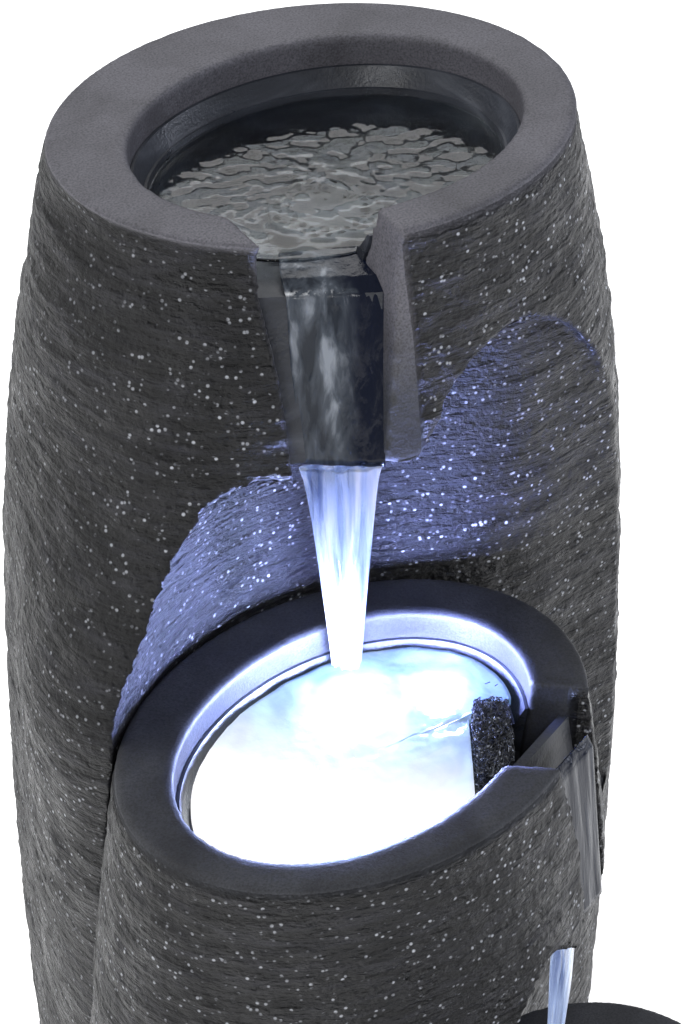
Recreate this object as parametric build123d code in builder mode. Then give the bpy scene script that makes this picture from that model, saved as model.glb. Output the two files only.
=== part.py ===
from build123d import *
import os
from math import atan2, cos, exp, pi, radians, sin

# A tall oval column pours into a middle vessel, and that one into a low vessel that holds the pump.
# Everything is in millimetres, +Z up, standing on z = 0. Plan positions inside the functions are
# measured from the column's axis; spot() moves them so that the whole footprint is centred on the origin.
AXIS_X, AXIS_Y = 20.3, 85.0

# rim heights, one tier above the other
TOP_RIM, MID_RIM, LOW_RIM = 414.0, 273.0, 138.0
SHELL_FOOT = 3.0            # lower edge of the cast shells, the height of the rubber feet
SHELL_WALL = 7.0
JOINT_GAP = 0.25            # mortar gap between two cast shells

# column: an oval that swells downwards, with a shoulder that reaches out to the middle vessel
COLUMN_OVAL = (80.0, 65.2)
COLUMN_YAW = -6.4
COLUMN_FOOT_WIDTH = 1.29    # the foot's width against the rim's oval
COLUMN_PROFILE = (          # height, width against the rim's oval, reach of the shoulder
    (414.0, 1.03, 0.0), (380.0, 1.122, 0.012), (346.0, 1.20, 0.10), (311.0, 1.258, 0.27),
    (277.0, 1.294, 0.46), (243.0, 1.313, 0.452), (208.0, 1.327, 0.41), (174.0, 1.335, 0.365),
    (140.0, 1.335, 0.335), (106.0, 1.33, 0.312), (71.0, 1.32, 0.298), (37.0, 1.306, 0.288),
    (SHELL_FOOT, COLUMN_FOOT_WIDTH, 0.28),
)
SHOULDER_ANGLE = -147.3
SHOULDER_SPREAD = 24.0

# middle and low vessels
MID_CENTRE, MID_OVAL, MID_YAW = (-51.0, -105.3), (79.6, 60.4), 12.0
MID_FOOT_WIDTH = 1.20
MID_PROFILE = (
    (MID_RIM, 1.0), (250.0, 1.05), (200.0, 1.13), (120.0, 1.20), (50.0, 1.22), (SHELL_FOOT, MID_FOOT_WIDTH),
)
LOW_CENTRE, LOW_OVAL, LOW_YAW = (-20.0, -189.0), (72.0, 57.5), 40.0
LOW_PROFILE = ((LOW_RIM, 1.0), (110.0, 1.045), (60.0, 1.08), (SHELL_FOOT, 1.05))

# bowls: the oval opening in each rim
TOP_BOWL_CENTRE, TOP_BOWL, TOP_BOWL_YAW = (1.9, -4.9), (62.7, 47.4), -2.5
MID_BOWL_CENTRE, MID_BOWL, MID_BOWL_YAW = (-52.4, -107.6), (63.3, 43.9), 16.3
LOW_BOWL_CENTRE, LOW_BOWL, LOW_BOWL_YAW = (-21.0, -190.0), (56.0, 42.5), 40.0
RIM_LIP = 10.0              # thickness of the rim that hangs over each bowl insert
BOWL_WALL = 4.0

# slots: the direction that the water takes through the rim, and the chute under it
TOP_SLOT_ANGLE, MID_SLOT_ANGLE = -90.0, -38.0
TOP_CHUTE_ANGLE, MID_CHUTE_ANGLE = -117.5, -65.0
CHUTE_THICKNESS = 3.5
TOP_CREST, TOP_LIP = (57.9, 391.5), (71.9, 341.0)      # distance from the bowl's centre, height
MID_CREST, MID_LIP = (44.0, 261.5), (56.0, 200.0)
TOP_SILL = (42.0, 391.5)
MID_CHUTE_PROFILE = (
    (34.0, 247.0), (41.2, 247.0), (41.2, 261.5), MID_CREST,
    MID_LIP, (52.5, 200.0), (42.0, 243.5), (34.0, 243.5),
)


def spot(x, y, z=None):
    """A plan position measured from the column's axis, in the finished frame."""
    return (x + AXIS_X, y + AXIS_Y) if z is None else (x + AXIS_X, y + AXIS_Y, z)


def oval_radius(angle, axes, yaw):
    """Distance from an oval's centre to its edge in one direction."""
    turn = angle - radians(yaw)
    return 1 / ((cos(turn) / axes[0]) ** 2 + (sin(turn) / axes[1]) ** 2) ** 0.5


def column_section(height, scale, reach, inset=0.0):
    """Closed outline of the column at one height, set in by a wall's thickness."""
    outline = []
    for step in range(24):
        angle = step * pi / 12
        away = (angle - radians(SHOULDER_ANGLE) + pi) % (2 * pi) - pi
        shoulder = 1 + reach * exp(-((away / radians(SHOULDER_SPREAD)) ** 2))
        radius = scale * shoulder * oval_radius(angle, COLUMN_OVAL, COLUMN_YAW) - inset
        outline.append(spot(radius * cos(angle), radius * sin(angle)))
    with BuildSketch(Plane.XY.offset(height)) as section:
        with BuildLine():
            Spline(*outline, periodic=True)
        make_face()
    return section.sketch


def column_body(inset=0.0):
    """The column's solid envelope."""
    with BuildPart() as body:
        loft([column_section(z, s, r, inset) for z, s, r in reversed(COLUMN_PROFILE)])
    return body.part


def oval_section(centre, axes, yaw, height, scale=1.0, grow=0.0):
    """One level oval face."""
    with BuildSketch(Plane.XY.offset(height)) as section:
        with Locations(spot(*centre)):
            Ellipse(axes[0] * scale + grow, axes[1] * scale + grow, rotation=yaw)
    return section.sketch


def vessel_body(centre, axes, yaw, profile, grow=0.0):
    """A barrel with an oval plan, lofted through its profile."""
    with BuildPart() as body:
        loft([oval_section(centre, axes, yaw, z, s, grow) for z, s in reversed(profile)])
    return body.part


def bowl_body(centre, axes, yaw, top, bottom, taper, grow=0.0):
    """The inside of a bowl: an oval that narrows towards its floor."""
    with BuildPart() as body:
        loft([
            oval_section(centre, axes, yaw, bottom, 1.0, grow - taper),
            oval_section(centre, axes, yaw, top, 1.0, grow),
        ])
    return body.part


def heading(angle):
    return Vector(cos(radians(angle)), sin(radians(angle)), 0)


def facing_plane(centre, angle):
    """An upright plane through a centre, seen from outside: x runs across, y is up, z points outwards."""
    return Plane(origin=spot(centre[0], centre[1], 0), x_dir=heading(angle + 90), z_dir=heading(angle))


def cross_plane(centre, angle, side=0.0):
    """An upright plane along a direction: x runs outwards, y is up."""
    outwards = heading(angle)
    origin = Vector(*spot(centre[0], centre[1], 0)) + heading(angle + 90) * side
    return Plane(origin=origin, x_dir=outwards, z_dir=outwards.cross(Vector(0, 0, 1)))


def niche_prism(wall_points, front_corners, bottom, top, grow=0.0):
    """An upright space in front of a curved wall. The wall is a spline, moved back by grow."""
    wall = Spline(*[Vector(*spot(*p), 0) for p in wall_points])
    steps = len(wall_points)
    moved = []
    for step in range(steps):
        place = wall @ (step / (steps - 1))
        along = wall % (step / (steps - 1))
        moved.append((place.X - along.Y * grow, place.Y + along.X * grow))
    with BuildPart() as prism:
        with BuildSketch(Plane.XY.offset(bottom)):
            with BuildLine():
                Spline(*moved)
                Polyline(moved[-1], *[spot(*p) for p in front_corners], moved[0])
            make_face()
        extrude(amount=top - bottom)
    return prism.part


def slot_prism(centre, angle, corners, inner, outer, play=0.0):
    """A slot through the rim: its outline seen from outside, pushed through the wall."""
    with BuildPart() as prism:
        with BuildSketch(facing_plane(centre, angle).offset(inner)):
            with BuildLine():
                Polyline(*corners, close=True)
            make_face()
            if play:
                offset(amount=-play, kind=Kind.INTERSECTION, mode=Mode.REPLACE)
        extrude(amount=outer - inner)
    return prism.part


def chute_profile(crest, lip, sill):
    """Section of a chute along its direction: the sill, the crest and the plate that falls to the lip."""
    slope = Vector(lip[0] - crest[0], lip[1] - crest[1]).normalized()
    back = CHUTE_THICKNESS / -slope.Y
    return (sill, crest, lip, (lip[0] - back, lip[1]), (crest[0] - back, crest[1] - CHUTE_THICKNESS),
            (sill[0], crest[1] - CHUTE_THICKNESS))


def wave_prism(centre, angle, left_tip, right_tip, left_wave, right_wave, foot, inner, outer):
    """The opening under a hood: two wave-shaped edges that meet the slot's tips."""
    with BuildPart() as prism:
        with BuildSketch(facing_plane(centre, angle).offset(inner)):
            with BuildLine():
                Spline(*left_wave, left_tip)
                Line(left_tip, right_tip)
                Spline(right_tip, *right_wave)
                Polyline(right_wave[-1], (right_wave[-1][0], foot), (left_wave[0][0], foot), left_wave[0])
            make_face()
        extrude(amount=outer - inner)
    return prism.part


# niches: the wall behind each lower rim, from left to right, and the wave-shaped hood above it
TOP_NICHE_WALL = (
    (-131, -118), (-118, -76), (-91, -56), (-72, -47.5), (-31, -40.8), (-10, -45),
    (13.6, -52.8), (29.5, -60), (52, -59), (76, -56.5), (125, -50),
)
TOP_NICHE_FRONT = ((125, -240), (-131, -240))
TOP_NICHE_FOOT, TOP_NICHE_CEILING = 150.0, 353.0
TOP_HOOD_LEFT = ((-118, 273), (-108, 292), (-93, 313), (-79, 331), (-72, 338), (-62, 342))
TOP_HOOD_RIGHT = (
    (-10, 341), (-4, 349.8), (4.5, 361.7), (15, 369), (28, 371), (42, 365.5),
    (55.7, 352), (67.7, 335), (82, 300), (100, 250),
)
TOP_TIP_LEFT, TOP_TIP_RIGHT = (-49.7, 340), (-22.5, 342)
TOP_SLOT = ((-49.7, 330), (-22.5, 330), (-22.5, 342), (-10.4, 412), (-10.4, 424), (-48.6, 424))
TOP_SLOT_START, SLOT_END = 30.0, 140.0

MID_NICHE_WALL = (
    (-89, -228), (-86.5, -205), (-80, -174.5), (-70, -158.7), (-57, -145.2), (-41.5, -134.6),
    (-24.4, -127.3), (-8, -120.5), (8, -111), (24, -100), (60, -78),
)
MID_NICHE_FRONT = ((60, -290), (-89, -290))
MID_NICHE_FOOT, MID_NICHE_CEILING = 40.0, 213.0
MID_HOOD_LEFT = ((-80, 138), (-66, 162), (-48, 184), (-41, 193), (-34, 203.5), (-27, 208.5), (-19, 204))
MID_HOOD_RIGHT = ((20, 203), (32, 212), (50, 196), (75, 160))
MID_TIP_LEFT, MID_TIP_RIGHT = (-10.5, 197.5), (17, 200)
MID_SLOT = (
    (-9.5, 190), (17, 190), (17, 200), (25.3, 272), (25.3, 284),
    (-11.5, 284), (-11.5, 268), (-6, 236), (-6, 210), (-9.5, 199),
)
MID_SLOT_START = 34.0
HOOD_WALL = 8.0

# rear service panel and cable gland
PANEL_WIDTH, PANEL_HEIGHT, PANEL_FOOT, PANEL_THICKNESS = 60.0, 72.0, 36.0, 4.0
PANEL_LEDGE, PANEL_PLAY, PANEL_SEAT = 4.0, 0.4, 77.0
GLAND_X, GLAND_Z, GLAND_BORE = 8.0, 20.0, 4.0
GLAND_STEM, GLAND_FLANGE, GLAND_NUT, GLAND_FACE, GLAND_SEAT = 5.5, 8.0, 9.0, 85.0, 5.5

# plumbing: the riser runs from the pump in the low vessel to the centre of the top bowl
PUMP_X, PUMP_Y = -27.0, -196.0
RISER_X, RISER_Y = 1.5, -5.3
PIPE_HEIGHT = 82.0
HOSE_OUTER, HOSE_INNER = 6.0, 4.5
RISER_BEND = 30.0
RISER_TOP = 350.0
TUNNEL_WIDTH, TUNNEL_HEIGHT = 40.0, 34.0
TUNNEL_START, TUNNEL_END = 70.0, 176.0     # along the pipe, from the pump
LEAD_RADIUS = 1.75
FITTING_BORE, FITTING_STEM = 7.7, 7.5      # the two threaded pipe fittings and their holes
BARB_RADIUS, BARB_LENGTH, PIPE_BORE = 4.45, 10.0, 3.0
NUT_RADIUS, NUT_HEIGHT = 12.0, 7.0
TOP_FLANGE = 374.5
WALL_INSIDE, WALL_OUTSIDE = 70.0, 75.5     # flats on the low vessel's wall, from the pump
GROMMET_RADIUS, LEAD_SIDE = 3.2, 16.0
CAP_FOOT, CAP_HEIGHT, CAP_RADIUS = 374.8, 9.2, 18.5
CAP_RINGS = ((11.8, 20, 1.2), (15.4, 24, 1.35))        # radius, holes, hole radius

# pump: a magnet rotor in a sealed well, its axle along Y
PUMP_WIDTH, PUMP_FOOT, PUMP_TOP, PUMP_AXLE = 38.0, 14.0, 54.0, 37.0
CUP_FOOT = 9.0
VOLUTE_FRONT, VOLUTE_BACK, WELL_BACK, PUMP_BACK = -201.0, -193.0, -175.5, -172.0
OUTLET_BORE = 2.6
VOLUTE_RADIUS, WELL_RADIUS, O_RING = 12.0, 8.4, 14.6
SHAFT_RADIUS, BUSH_RADIUS = 1.5, 3.0
STATOR_WIDTH, STATOR_FOOT, STATOR_TOP, STATOR_FRONT = 30.0, 16.0, 46.0, -192.0
CORE_FOOT, CORE_FRONT, CORE_BACK = 19.0, -188.6, -177.4
GRILLE_FRONT = -211.0
DIAL_HEIGHT, DIAL_PIN = 42.0, 2.0

BASE_COVER = 3.5            # thickness of the two plastic bottom covers
COVER_PLAY = 0.3
BOSS_RADIUS, BOSS_TOP = 5.5, 24.0
SCREW_RADIUS, SCREW_HEAD, SCREW_LENGTH = 1.7, 2.7, 14.0
PILOT_PLAY = 0.15
BOSS_INSET = 3.0            # from the hollow's wall to a boss's centre
COLUMN_BOSS_ANGLES, MID_BOSS_ANGLES = (15, 62, 118, 163), (30, 115, 205)
COLUMN_FEET = ((70, 10), (38, 48), (-38, 48), (-70, 10))
MID_FEET = ((-120, -110), (-100, -62), (-20, -60))
LOW_FOOT_ANGLES = (40, 130, 220, 310)
LOW_FOOT_REACH = 0.68       # of the way from the low vessel's centre to its rim
LOW_FLOOR = 6.0
FOOT_RADIUS = 7.0

# hollows: how far forward each one reaches, and its ceiling
COLUMN_HOLLOW_FRONT, COLUMN_HOLLOW_TOP = -23.0, 362.0
MID_HOLLOW_FRONT, MID_HOLLOW_TOP = 84.0, 228.0
BOWL_PLAY = 0.3
TOP_BOWL_FLOOR, MID_BOWL_FLOOR = 371.0, 235.0          # undersides of the inserts
FLOOR_THICKNESS = 3.5
BOWL_TAPER = 4.0

# middle bowl's lamp, and the foam block in its slot
LED_X, LED_Y = -60.0, -95.0
LED_BORE, LED_TUBE, LENS_RADIUS = 18.0, 17.7, 20.0
LED_FOOT, LED_BOARD = 212.0, 232.0
MID_FLOOR_TOP = 238.5
FOAM_ANGLE, FOAM_FACE, FOAM_DEPTH = -30.4, 48.0, 12.5
FOAM_HALF, FOAM_FOOT, FOAM_TOP = 24.0, 247.3, 268.0
FOAM_STOP = 40.7            # how near the chute's weir it may come

# low vessel: the ledge that carries its deck, and the removable grate
LEDGE_FOOT, DECK_FOOT, DECK_FLOOR = 90.0, 98.0, 3.5
LEDGE_WIDTH = 6.0
GRATE_CENTRE, GRATE_OVAL = (-30.0, -204.0), (30.0, 23.0)


def pipe_heading():
    """Unit vector from the pump to the riser, level."""
    return (Vector(RISER_X - PUMP_X, RISER_Y - PUMP_Y, 0)).normalized()


def tunnel():
    """The service passage through the walls between the vessels."""
    along = pipe_heading()
    start = Vector(*spot(PUMP_X, PUMP_Y, PIPE_HEIGHT)) + along * TUNNEL_START
    with BuildPart() as passage:
        with BuildSketch(Plane(origin=start, x_dir=along.cross(Vector(0, 0, 1)), z_dir=along)):
            RectangleRounded(TUNNEL_WIDTH, TUNNEL_HEIGHT, 8)
        extrude(amount=TUNNEL_END - TUNNEL_START)
    return passage.part


def top_niche(grow=0.0):
    return niche_prism(TOP_NICHE_WALL, TOP_NICHE_FRONT, TOP_NICHE_FOOT - grow, TOP_RIM, grow)


def mid_niche(grow=0.0):
    return niche_prism(MID_NICHE_WALL, MID_NICHE_FRONT, MID_NICHE_FOOT - grow, MID_RIM, grow)


def mid_envelope(grow=0.0):
    return vessel_body(MID_CENTRE, MID_OVAL, MID_YAW, MID_PROFILE, grow)


def low_envelope(grow=0.0):
    return vessel_body(LOW_CENTRE, LOW_OVAL, LOW_YAW, LOW_PROFILE, grow)


def boss(x, y):
    """A screw pillar with its pilot hole, standing on a bottom cover."""
    foot = SHELL_FOOT + BASE_COVER
    with BuildPart() as pillar:
        with BuildSketch(Plane.XY.offset(foot)):
            with Locations(spot(x, y)):
                Circle(BOSS_RADIUS)
                Circle(SCREW_RADIUS + PILOT_PLAY, mode=Mode.SUBTRACT)
        extrude(amount=BOSS_TOP - foot)
    return pillar.part


def panel_block(clear, inner, outer):
    """A rounded block through the column's back wall."""
    with BuildPart() as block:
        with BuildSketch(Plane.XZ.offset(-(AXIS_Y + outer))):
            with Locations((AXIS_X, PANEL_FOOT + PANEL_HEIGHT / 2)):
                RectangleRounded(PANEL_WIDTH - 2 * clear, PANEL_HEIGHT - 2 * clear, 8)
        extrude(amount=outer - inner)
    return block.part


def column_hollow(play=0.0, top=COLUMN_HOLLOW_TOP):
    """The space inside the column, behind the niche. The wall is thicker round the service opening."""
    profile = [(height, width) for height, width, reach in COLUMN_PROFILE]
    with BuildPart() as hollow:
        add(vessel_body((0, 0), COLUMN_OVAL, COLUMN_YAW, profile, -SHELL_WALL - play))
        add(panel_block(-PANEL_LEDGE - 3, PANEL_SEAT - 6, PANEL_SEAT + 20), mode=Mode.SUBTRACT)
        with BuildSketch(Plane.XY.offset(SHELL_FOOT)):
            with Locations(spot(0, COLUMN_HOLLOW_FRONT + play + 150)):
                Rectangle(400, 300)
        extrude(amount=top - SHELL_FOOT, mode=Mode.INTERSECT)
    return hollow.part


def mid_hollow(play=0.0, top=MID_HOLLOW_TOP):
    """The space under the middle bowl, behind the niche."""
    outwards = heading(MID_CHUTE_ANGLE)
    behind = Vector(*spot(0, 0, SHELL_FOOT)) + outwards * (MID_HOLLOW_FRONT - play - 150)
    with BuildPart() as hollow:
        add(mid_envelope(-SHELL_WALL - play))
        with BuildSketch(Plane(origin=behind, x_dir=outwards, z_dir=(0, 0, 1))):
            Rectangle(300, 400)
        extrude(amount=top - SHELL_FOOT, mode=Mode.INTERSECT)
    return hollow.part


def gland_drill(radius, inner, outer):
    with BuildPart() as drill:
        with BuildSketch(Plane.XZ.offset(-(AXIS_Y + outer))):
            with Locations((AXIS_X + GLAND_X, GLAND_Z)):
                Circle(radius)
        extrude(amount=outer - inner)
    return drill.part


os.makedirs("parts", exist_ok=True)


def save(part, name):
    part.label = name
    export_step(part, f"parts/{name}.step")


# ---- the column ----

def column_boss_spots():
    """Screw pillars stand half inside the column's wall."""
    spots = []
    for angle in COLUMN_BOSS_ANGLES:
        reach = COLUMN_FOOT_WIDTH * oval_radius(radians(angle), COLUMN_OVAL, COLUMN_YAW)
        reach -= SHELL_WALL + BOSS_INSET
        spots.append((reach * cos(radians(angle)), reach * sin(radians(angle))))
    return spots


def mid_boss_spots():
    spots = []
    for angle in MID_BOSS_ANGLES:
        reach = MID_FOOT_WIDTH * oval_radius(radians(angle), MID_OVAL, MID_YAW)
        reach -= SHELL_WALL + BOSS_INSET
        place = heading(angle) * reach
        spots.append((MID_CENTRE[0] + place.X, MID_CENTRE[1] + place.Y))
    return spots


def bowl_pocket(centre, axes, yaw, rim, floor):
    """The opening in a rim and the recess under it that takes the bowl insert."""
    with BuildPart() as pocket:
        add(bowl_body(centre, axes, yaw, rim - RIM_LIP, floor, BOWL_TAPER))
        with BuildSketch(Plane.XY.offset(rim - RIM_LIP)):
            with Locations(spot(*centre)):
                Ellipse(axes[0], axes[1], rotation=yaw)
        extrude(amount=RIM_LIP + 1)
    return pocket.part


def upright_drill(x, y, radius, bottom, top):
    with BuildPart() as drill:
        with BuildSketch(Plane.XY.offset(bottom)):
            with Locations(spot(x, y)):
                Circle(radius)
        extrude(amount=top - bottom)
    return drill.part


def top_wave():
    """The space in front of the upper niche, under the column's hood."""
    with BuildPart() as space:
        add(wave_prism((0, 0), TOP_SLOT_ANGLE, TOP_TIP_LEFT, TOP_TIP_RIGHT, TOP_HOOD_LEFT, TOP_HOOD_RIGHT,
                       TOP_NICHE_FOOT, 20, 200))
        add(top_niche(), mode=Mode.INTERSECT)
    return space.part


def top_under_hood():
    """The niche's own space behind the hood's skin."""
    with BuildPart() as space:
        add(column_body(HOOD_WALL))
        split(bisect_by=Plane.XY.offset(TOP_NICHE_CEILING), keep=Keep.BOTTOM)
        add(top_niche(), mode=Mode.INTERSECT)
    return space.part


with BuildPart() as column_shell:
    add(column_body())
    add(top_wave(), mode=Mode.SUBTRACT)
    add(top_under_hood(), mode=Mode.SUBTRACT)
    add(mid_envelope(JOINT_GAP), mode=Mode.SUBTRACT)
    add(column_hollow(), mode=Mode.SUBTRACT)
    add(bowl_pocket(TOP_BOWL_CENTRE, TOP_BOWL, TOP_BOWL_YAW, TOP_RIM, TOP_BOWL_FLOOR), mode=Mode.SUBTRACT)
    add(slot_prism((0, 0), TOP_SLOT_ANGLE, TOP_SLOT, TOP_SLOT_START, SLOT_END), mode=Mode.SUBTRACT)
    add(tunnel(), mode=Mode.SUBTRACT)
    add(upright_drill(RISER_X, RISER_Y, FITTING_BORE, COLUMN_HOLLOW_TOP - 1, TOP_BOWL_FLOOR + 1),
        mode=Mode.SUBTRACT)
    add(panel_block(PANEL_LEDGE, PANEL_SEAT - 8, PANEL_SEAT + 1), mode=Mode.SUBTRACT)
    add(panel_block(0, PANEL_SEAT, PANEL_SEAT + 40), mode=Mode.SUBTRACT)
    add(gland_drill(GLAND_STEM + 0.1, GLAND_FACE - 20, GLAND_FACE + 10), mode=Mode.SUBTRACT)
    add(gland_drill(GLAND_NUT + 1.5, GLAND_FACE - 20, GLAND_FACE - GLAND_SEAT), mode=Mode.SUBTRACT)
    for x, y in column_boss_spots():
        add(boss(x, y))
        add(upright_drill(x, y, SCREW_RADIUS + PILOT_PLAY, SHELL_FOOT, BOSS_TOP), mode=Mode.SUBTRACT)
save(column_shell.part, "column_shell")


def bowl_insert(centre, axes, yaw, rim, floor):
    """A thin bowl that drops into its pocket, with its top edge bevelled to a fine line."""
    top = rim - RIM_LIP
    with BuildPart() as insert:
        add(bowl_body(centre, axes, yaw, top, floor, BOWL_TAPER, -BOWL_PLAY))
        add(bowl_body(centre, axes, yaw, top, floor + FLOOR_THICKNESS, BOWL_TAPER, -BOWL_PLAY - BOWL_WALL),
            mode=Mode.SUBTRACT)
        add(bowl_body(centre, axes, yaw, top + 0.01, top - 6, BOWL_WALL - 1, -BOWL_PLAY - 1),
            mode=Mode.SUBTRACT)
    return insert.part


def chute(centre, slot_centre, slot_angle, slot, slot_start, chute_angle, profile):
    """The sloping plate that carries the water through the slot."""
    with BuildPart() as plate:
        with BuildSketch(cross_plane(centre, chute_angle, -60)):
            with BuildLine():
                Polyline(*profile, close=True)
            make_face()
        extrude(amount=-120, both=False)
        add(slot_prism(slot_centre, slot_angle, slot, slot_start, SLOT_END, BOWL_PLAY), mode=Mode.INTERSECT)
    return plate.part


def slot_notch(slot_centre, slot_angle, slot, slot_start, sill_height):
    """The part of a slot above the chute's sill, which also opens the insert's wall."""
    with BuildPart() as notch:
        add(slot_prism(slot_centre, slot_angle, slot, slot_start, SLOT_END))
        split(bisect_by=Plane.XY.offset(sill_height), keep=Keep.TOP)
    return notch.part


with BuildPart() as top_basin:
    add(bowl_insert(TOP_BOWL_CENTRE, TOP_BOWL, TOP_BOWL_YAW, TOP_RIM, TOP_BOWL_FLOOR))
    add(slot_notch((0, 0), TOP_SLOT_ANGLE, TOP_SLOT, TOP_SLOT_START, TOP_CREST[1]), mode=Mode.SUBTRACT)
    add(chute(TOP_BOWL_CENTRE, (0, 0), TOP_SLOT_ANGLE, TOP_SLOT, TOP_SLOT_START, TOP_CHUTE_ANGLE,
              chute_profile(TOP_CREST, TOP_LIP, TOP_SILL)))
    add(upright_drill(RISER_X, RISER_Y, FITTING_BORE, TOP_BOWL_FLOOR - 1, TOP_BOWL_FLOOR + 8),
        mode=Mode.SUBTRACT)
save(top_basin.part, "top_basin")

with BuildPart() as diffuser_cap:
    with BuildSketch(Plane.XY.offset(CAP_FOOT)):
        with Locations(spot(RISER_X, RISER_Y)):
            Circle(CAP_RADIUS)
    extrude(amount=CAP_HEIGHT)
    fillet(diffuser_cap.edges().group_by(Axis.Z)[-1], 1.2)
    with BuildSketch(Plane.XY.offset(CAP_FOOT)):
        with Locations(spot(RISER_X, RISER_Y)):
            Circle(CAP_RADIUS - 1.8)
    extrude(amount=CAP_HEIGHT - 1.8, mode=Mode.SUBTRACT)
    with BuildSketch(Plane.XY.offset(CAP_FOOT)):
        with Locations(spot(RISER_X, RISER_Y)):
            for ring_radius, count, hole_radius in CAP_RINGS:
                with PolarLocations(ring_radius, count):
                    Circle(hole_radius)
    extrude(amount=CAP_HEIGHT + 1, mode=Mode.SUBTRACT)
save(diffuser_cap.part, "diffuser_cap")


with BuildPart() as bulkhead_fitting:
    with BuildSketch(Plane.XY.offset(TOP_FLANGE)):
        with Locations(spot(RISER_X, RISER_Y)):
            Circle(11)
    extrude(amount=2.5)
    with BuildSketch(Plane.XY.offset(RISER_TOP)):
        with Locations(spot(RISER_X, RISER_Y)):
            Circle(FITTING_STEM)
    extrude(amount=TOP_FLANGE - RISER_TOP)
    with BuildSketch(Plane.XY.offset(RISER_TOP - BARB_LENGTH)):
        with Locations(spot(RISER_X, RISER_Y)):
            Circle(BARB_RADIUS)
    extrude(amount=BARB_LENGTH)
    with BuildSketch(Plane.XY.offset(RISER_TOP - BARB_LENGTH)):
        with Locations(spot(RISER_X, RISER_Y)):
            Circle(PIPE_BORE)
    extrude(amount=60, mode=Mode.SUBTRACT)
save(bulkhead_fitting.part, "bulkhead_fitting")


with BuildPart() as bulkhead_nut:
    with BuildSketch(Plane.XY.offset(COLUMN_HOLLOW_TOP - NUT_HEIGHT)):
        with Locations(spot(RISER_X, RISER_Y)):
            RegularPolygon(NUT_RADIUS, 6)
            Circle(FITTING_STEM, mode=Mode.SUBTRACT)
    extrude(amount=NUT_HEIGHT)
save(bulkhead_nut.part, "bulkhead_nut")


# ---- the middle vessel ----

def mid_wave():
    """The space in front of the lower niche, under the middle vessel's hood."""
    with BuildPart() as space:
        add(wave_prism(MID_CENTRE, MID_SLOT_ANGLE, MID_TIP_LEFT, MID_TIP_RIGHT, MID_HOOD_LEFT, MID_HOOD_RIGHT,
                       MID_NICHE_FOOT, -40, 200))
        add(mid_niche(), mode=Mode.INTERSECT)
    return space.part


def mid_under_hood():
    with BuildPart() as space:
        add(mid_envelope(-HOOD_WALL))
        split(bisect_by=Plane.XY.offset(MID_NICHE_CEILING), keep=Keep.BOTTOM)
        add(mid_niche(), mode=Mode.INTERSECT)
    return space.part


with BuildPart() as middle_vessel:
    add(mid_envelope())
    add(mid_wave(), mode=Mode.SUBTRACT)
    add(mid_under_hood(), mode=Mode.SUBTRACT)
    add(low_envelope(JOINT_GAP), mode=Mode.SUBTRACT)
    add(mid_hollow(), mode=Mode.SUBTRACT)
    add(bowl_pocket(MID_BOWL_CENTRE, MID_BOWL, MID_BOWL_YAW, MID_RIM, MID_BOWL_FLOOR), mode=Mode.SUBTRACT)
    add(slot_prism(MID_CENTRE, MID_SLOT_ANGLE, MID_SLOT, MID_SLOT_START, SLOT_END), mode=Mode.SUBTRACT)
    add(tunnel(), mode=Mode.SUBTRACT)
    add(upright_drill(LED_X, LED_Y, LED_BORE, MID_HOLLOW_TOP - 1, MID_BOWL_FLOOR + 1), mode=Mode.SUBTRACT)
    for x, y in mid_boss_spots():
        add(boss(x, y))
        add(upright_drill(x, y, SCREW_RADIUS + PILOT_PLAY, SHELL_FOOT, BOSS_TOP), mode=Mode.SUBTRACT)
save(middle_vessel.part, "middle_vessel")


with BuildPart() as middle_basin:
    add(bowl_insert(MID_BOWL_CENTRE, MID_BOWL, MID_BOWL_YAW, MID_RIM, MID_BOWL_FLOOR))
    add(slot_notch(MID_CENTRE, MID_SLOT_ANGLE, MID_SLOT, MID_SLOT_START, FOAM_FOOT - 0.3), mode=Mode.SUBTRACT)
    add(chute(MID_BOWL_CENTRE, MID_CENTRE, MID_SLOT_ANGLE, MID_SLOT, MID_SLOT_START, MID_CHUTE_ANGLE,
              MID_CHUTE_PROFILE))
    add(upright_drill(LED_X, LED_Y, LED_BORE, MID_BOWL_FLOOR - 1, MID_BOWL_FLOOR + 8), mode=Mode.SUBTRACT)
save(middle_basin.part, "middle_basin")


def foam_space():
    """Where the soft block may be: inside the bowl and between the slot's walls."""
    with BuildPart() as space:
        add(bowl_body(MID_BOWL_CENTRE, MID_BOWL, MID_BOWL_YAW, MID_RIM - RIM_LIP, MID_BOWL_FLOOR, BOWL_TAPER,
                      -BOWL_PLAY - BOWL_WALL - 0.4))
        add(slot_prism(MID_CENTRE, MID_SLOT_ANGLE, MID_SLOT, MID_SLOT_START, SLOT_END, 0.6))
    return space.part


with BuildPart() as foam_block:
    with BuildSketch(facing_plane(MID_BOWL_CENTRE, FOAM_ANGLE).offset(FOAM_FACE - FOAM_DEPTH)):
        with Locations((0, (FOAM_FOOT + FOAM_TOP) / 2)):
            Rectangle(2 * FOAM_HALF, FOAM_TOP - FOAM_FOOT)
    extrude(amount=FOAM_DEPTH)
    add(foam_space(), mode=Mode.INTERSECT)
    with BuildSketch(facing_plane(MID_BOWL_CENTRE, MID_CHUTE_ANGLE).offset(FOAM_STOP)):
        with Locations((0, FOAM_TOP)):
            Rectangle(200, 100)
    extrude(amount=60, mode=Mode.SUBTRACT)
save(foam_block.part, "foam_block")


# ---- the lamp under the middle bowl ----

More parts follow.
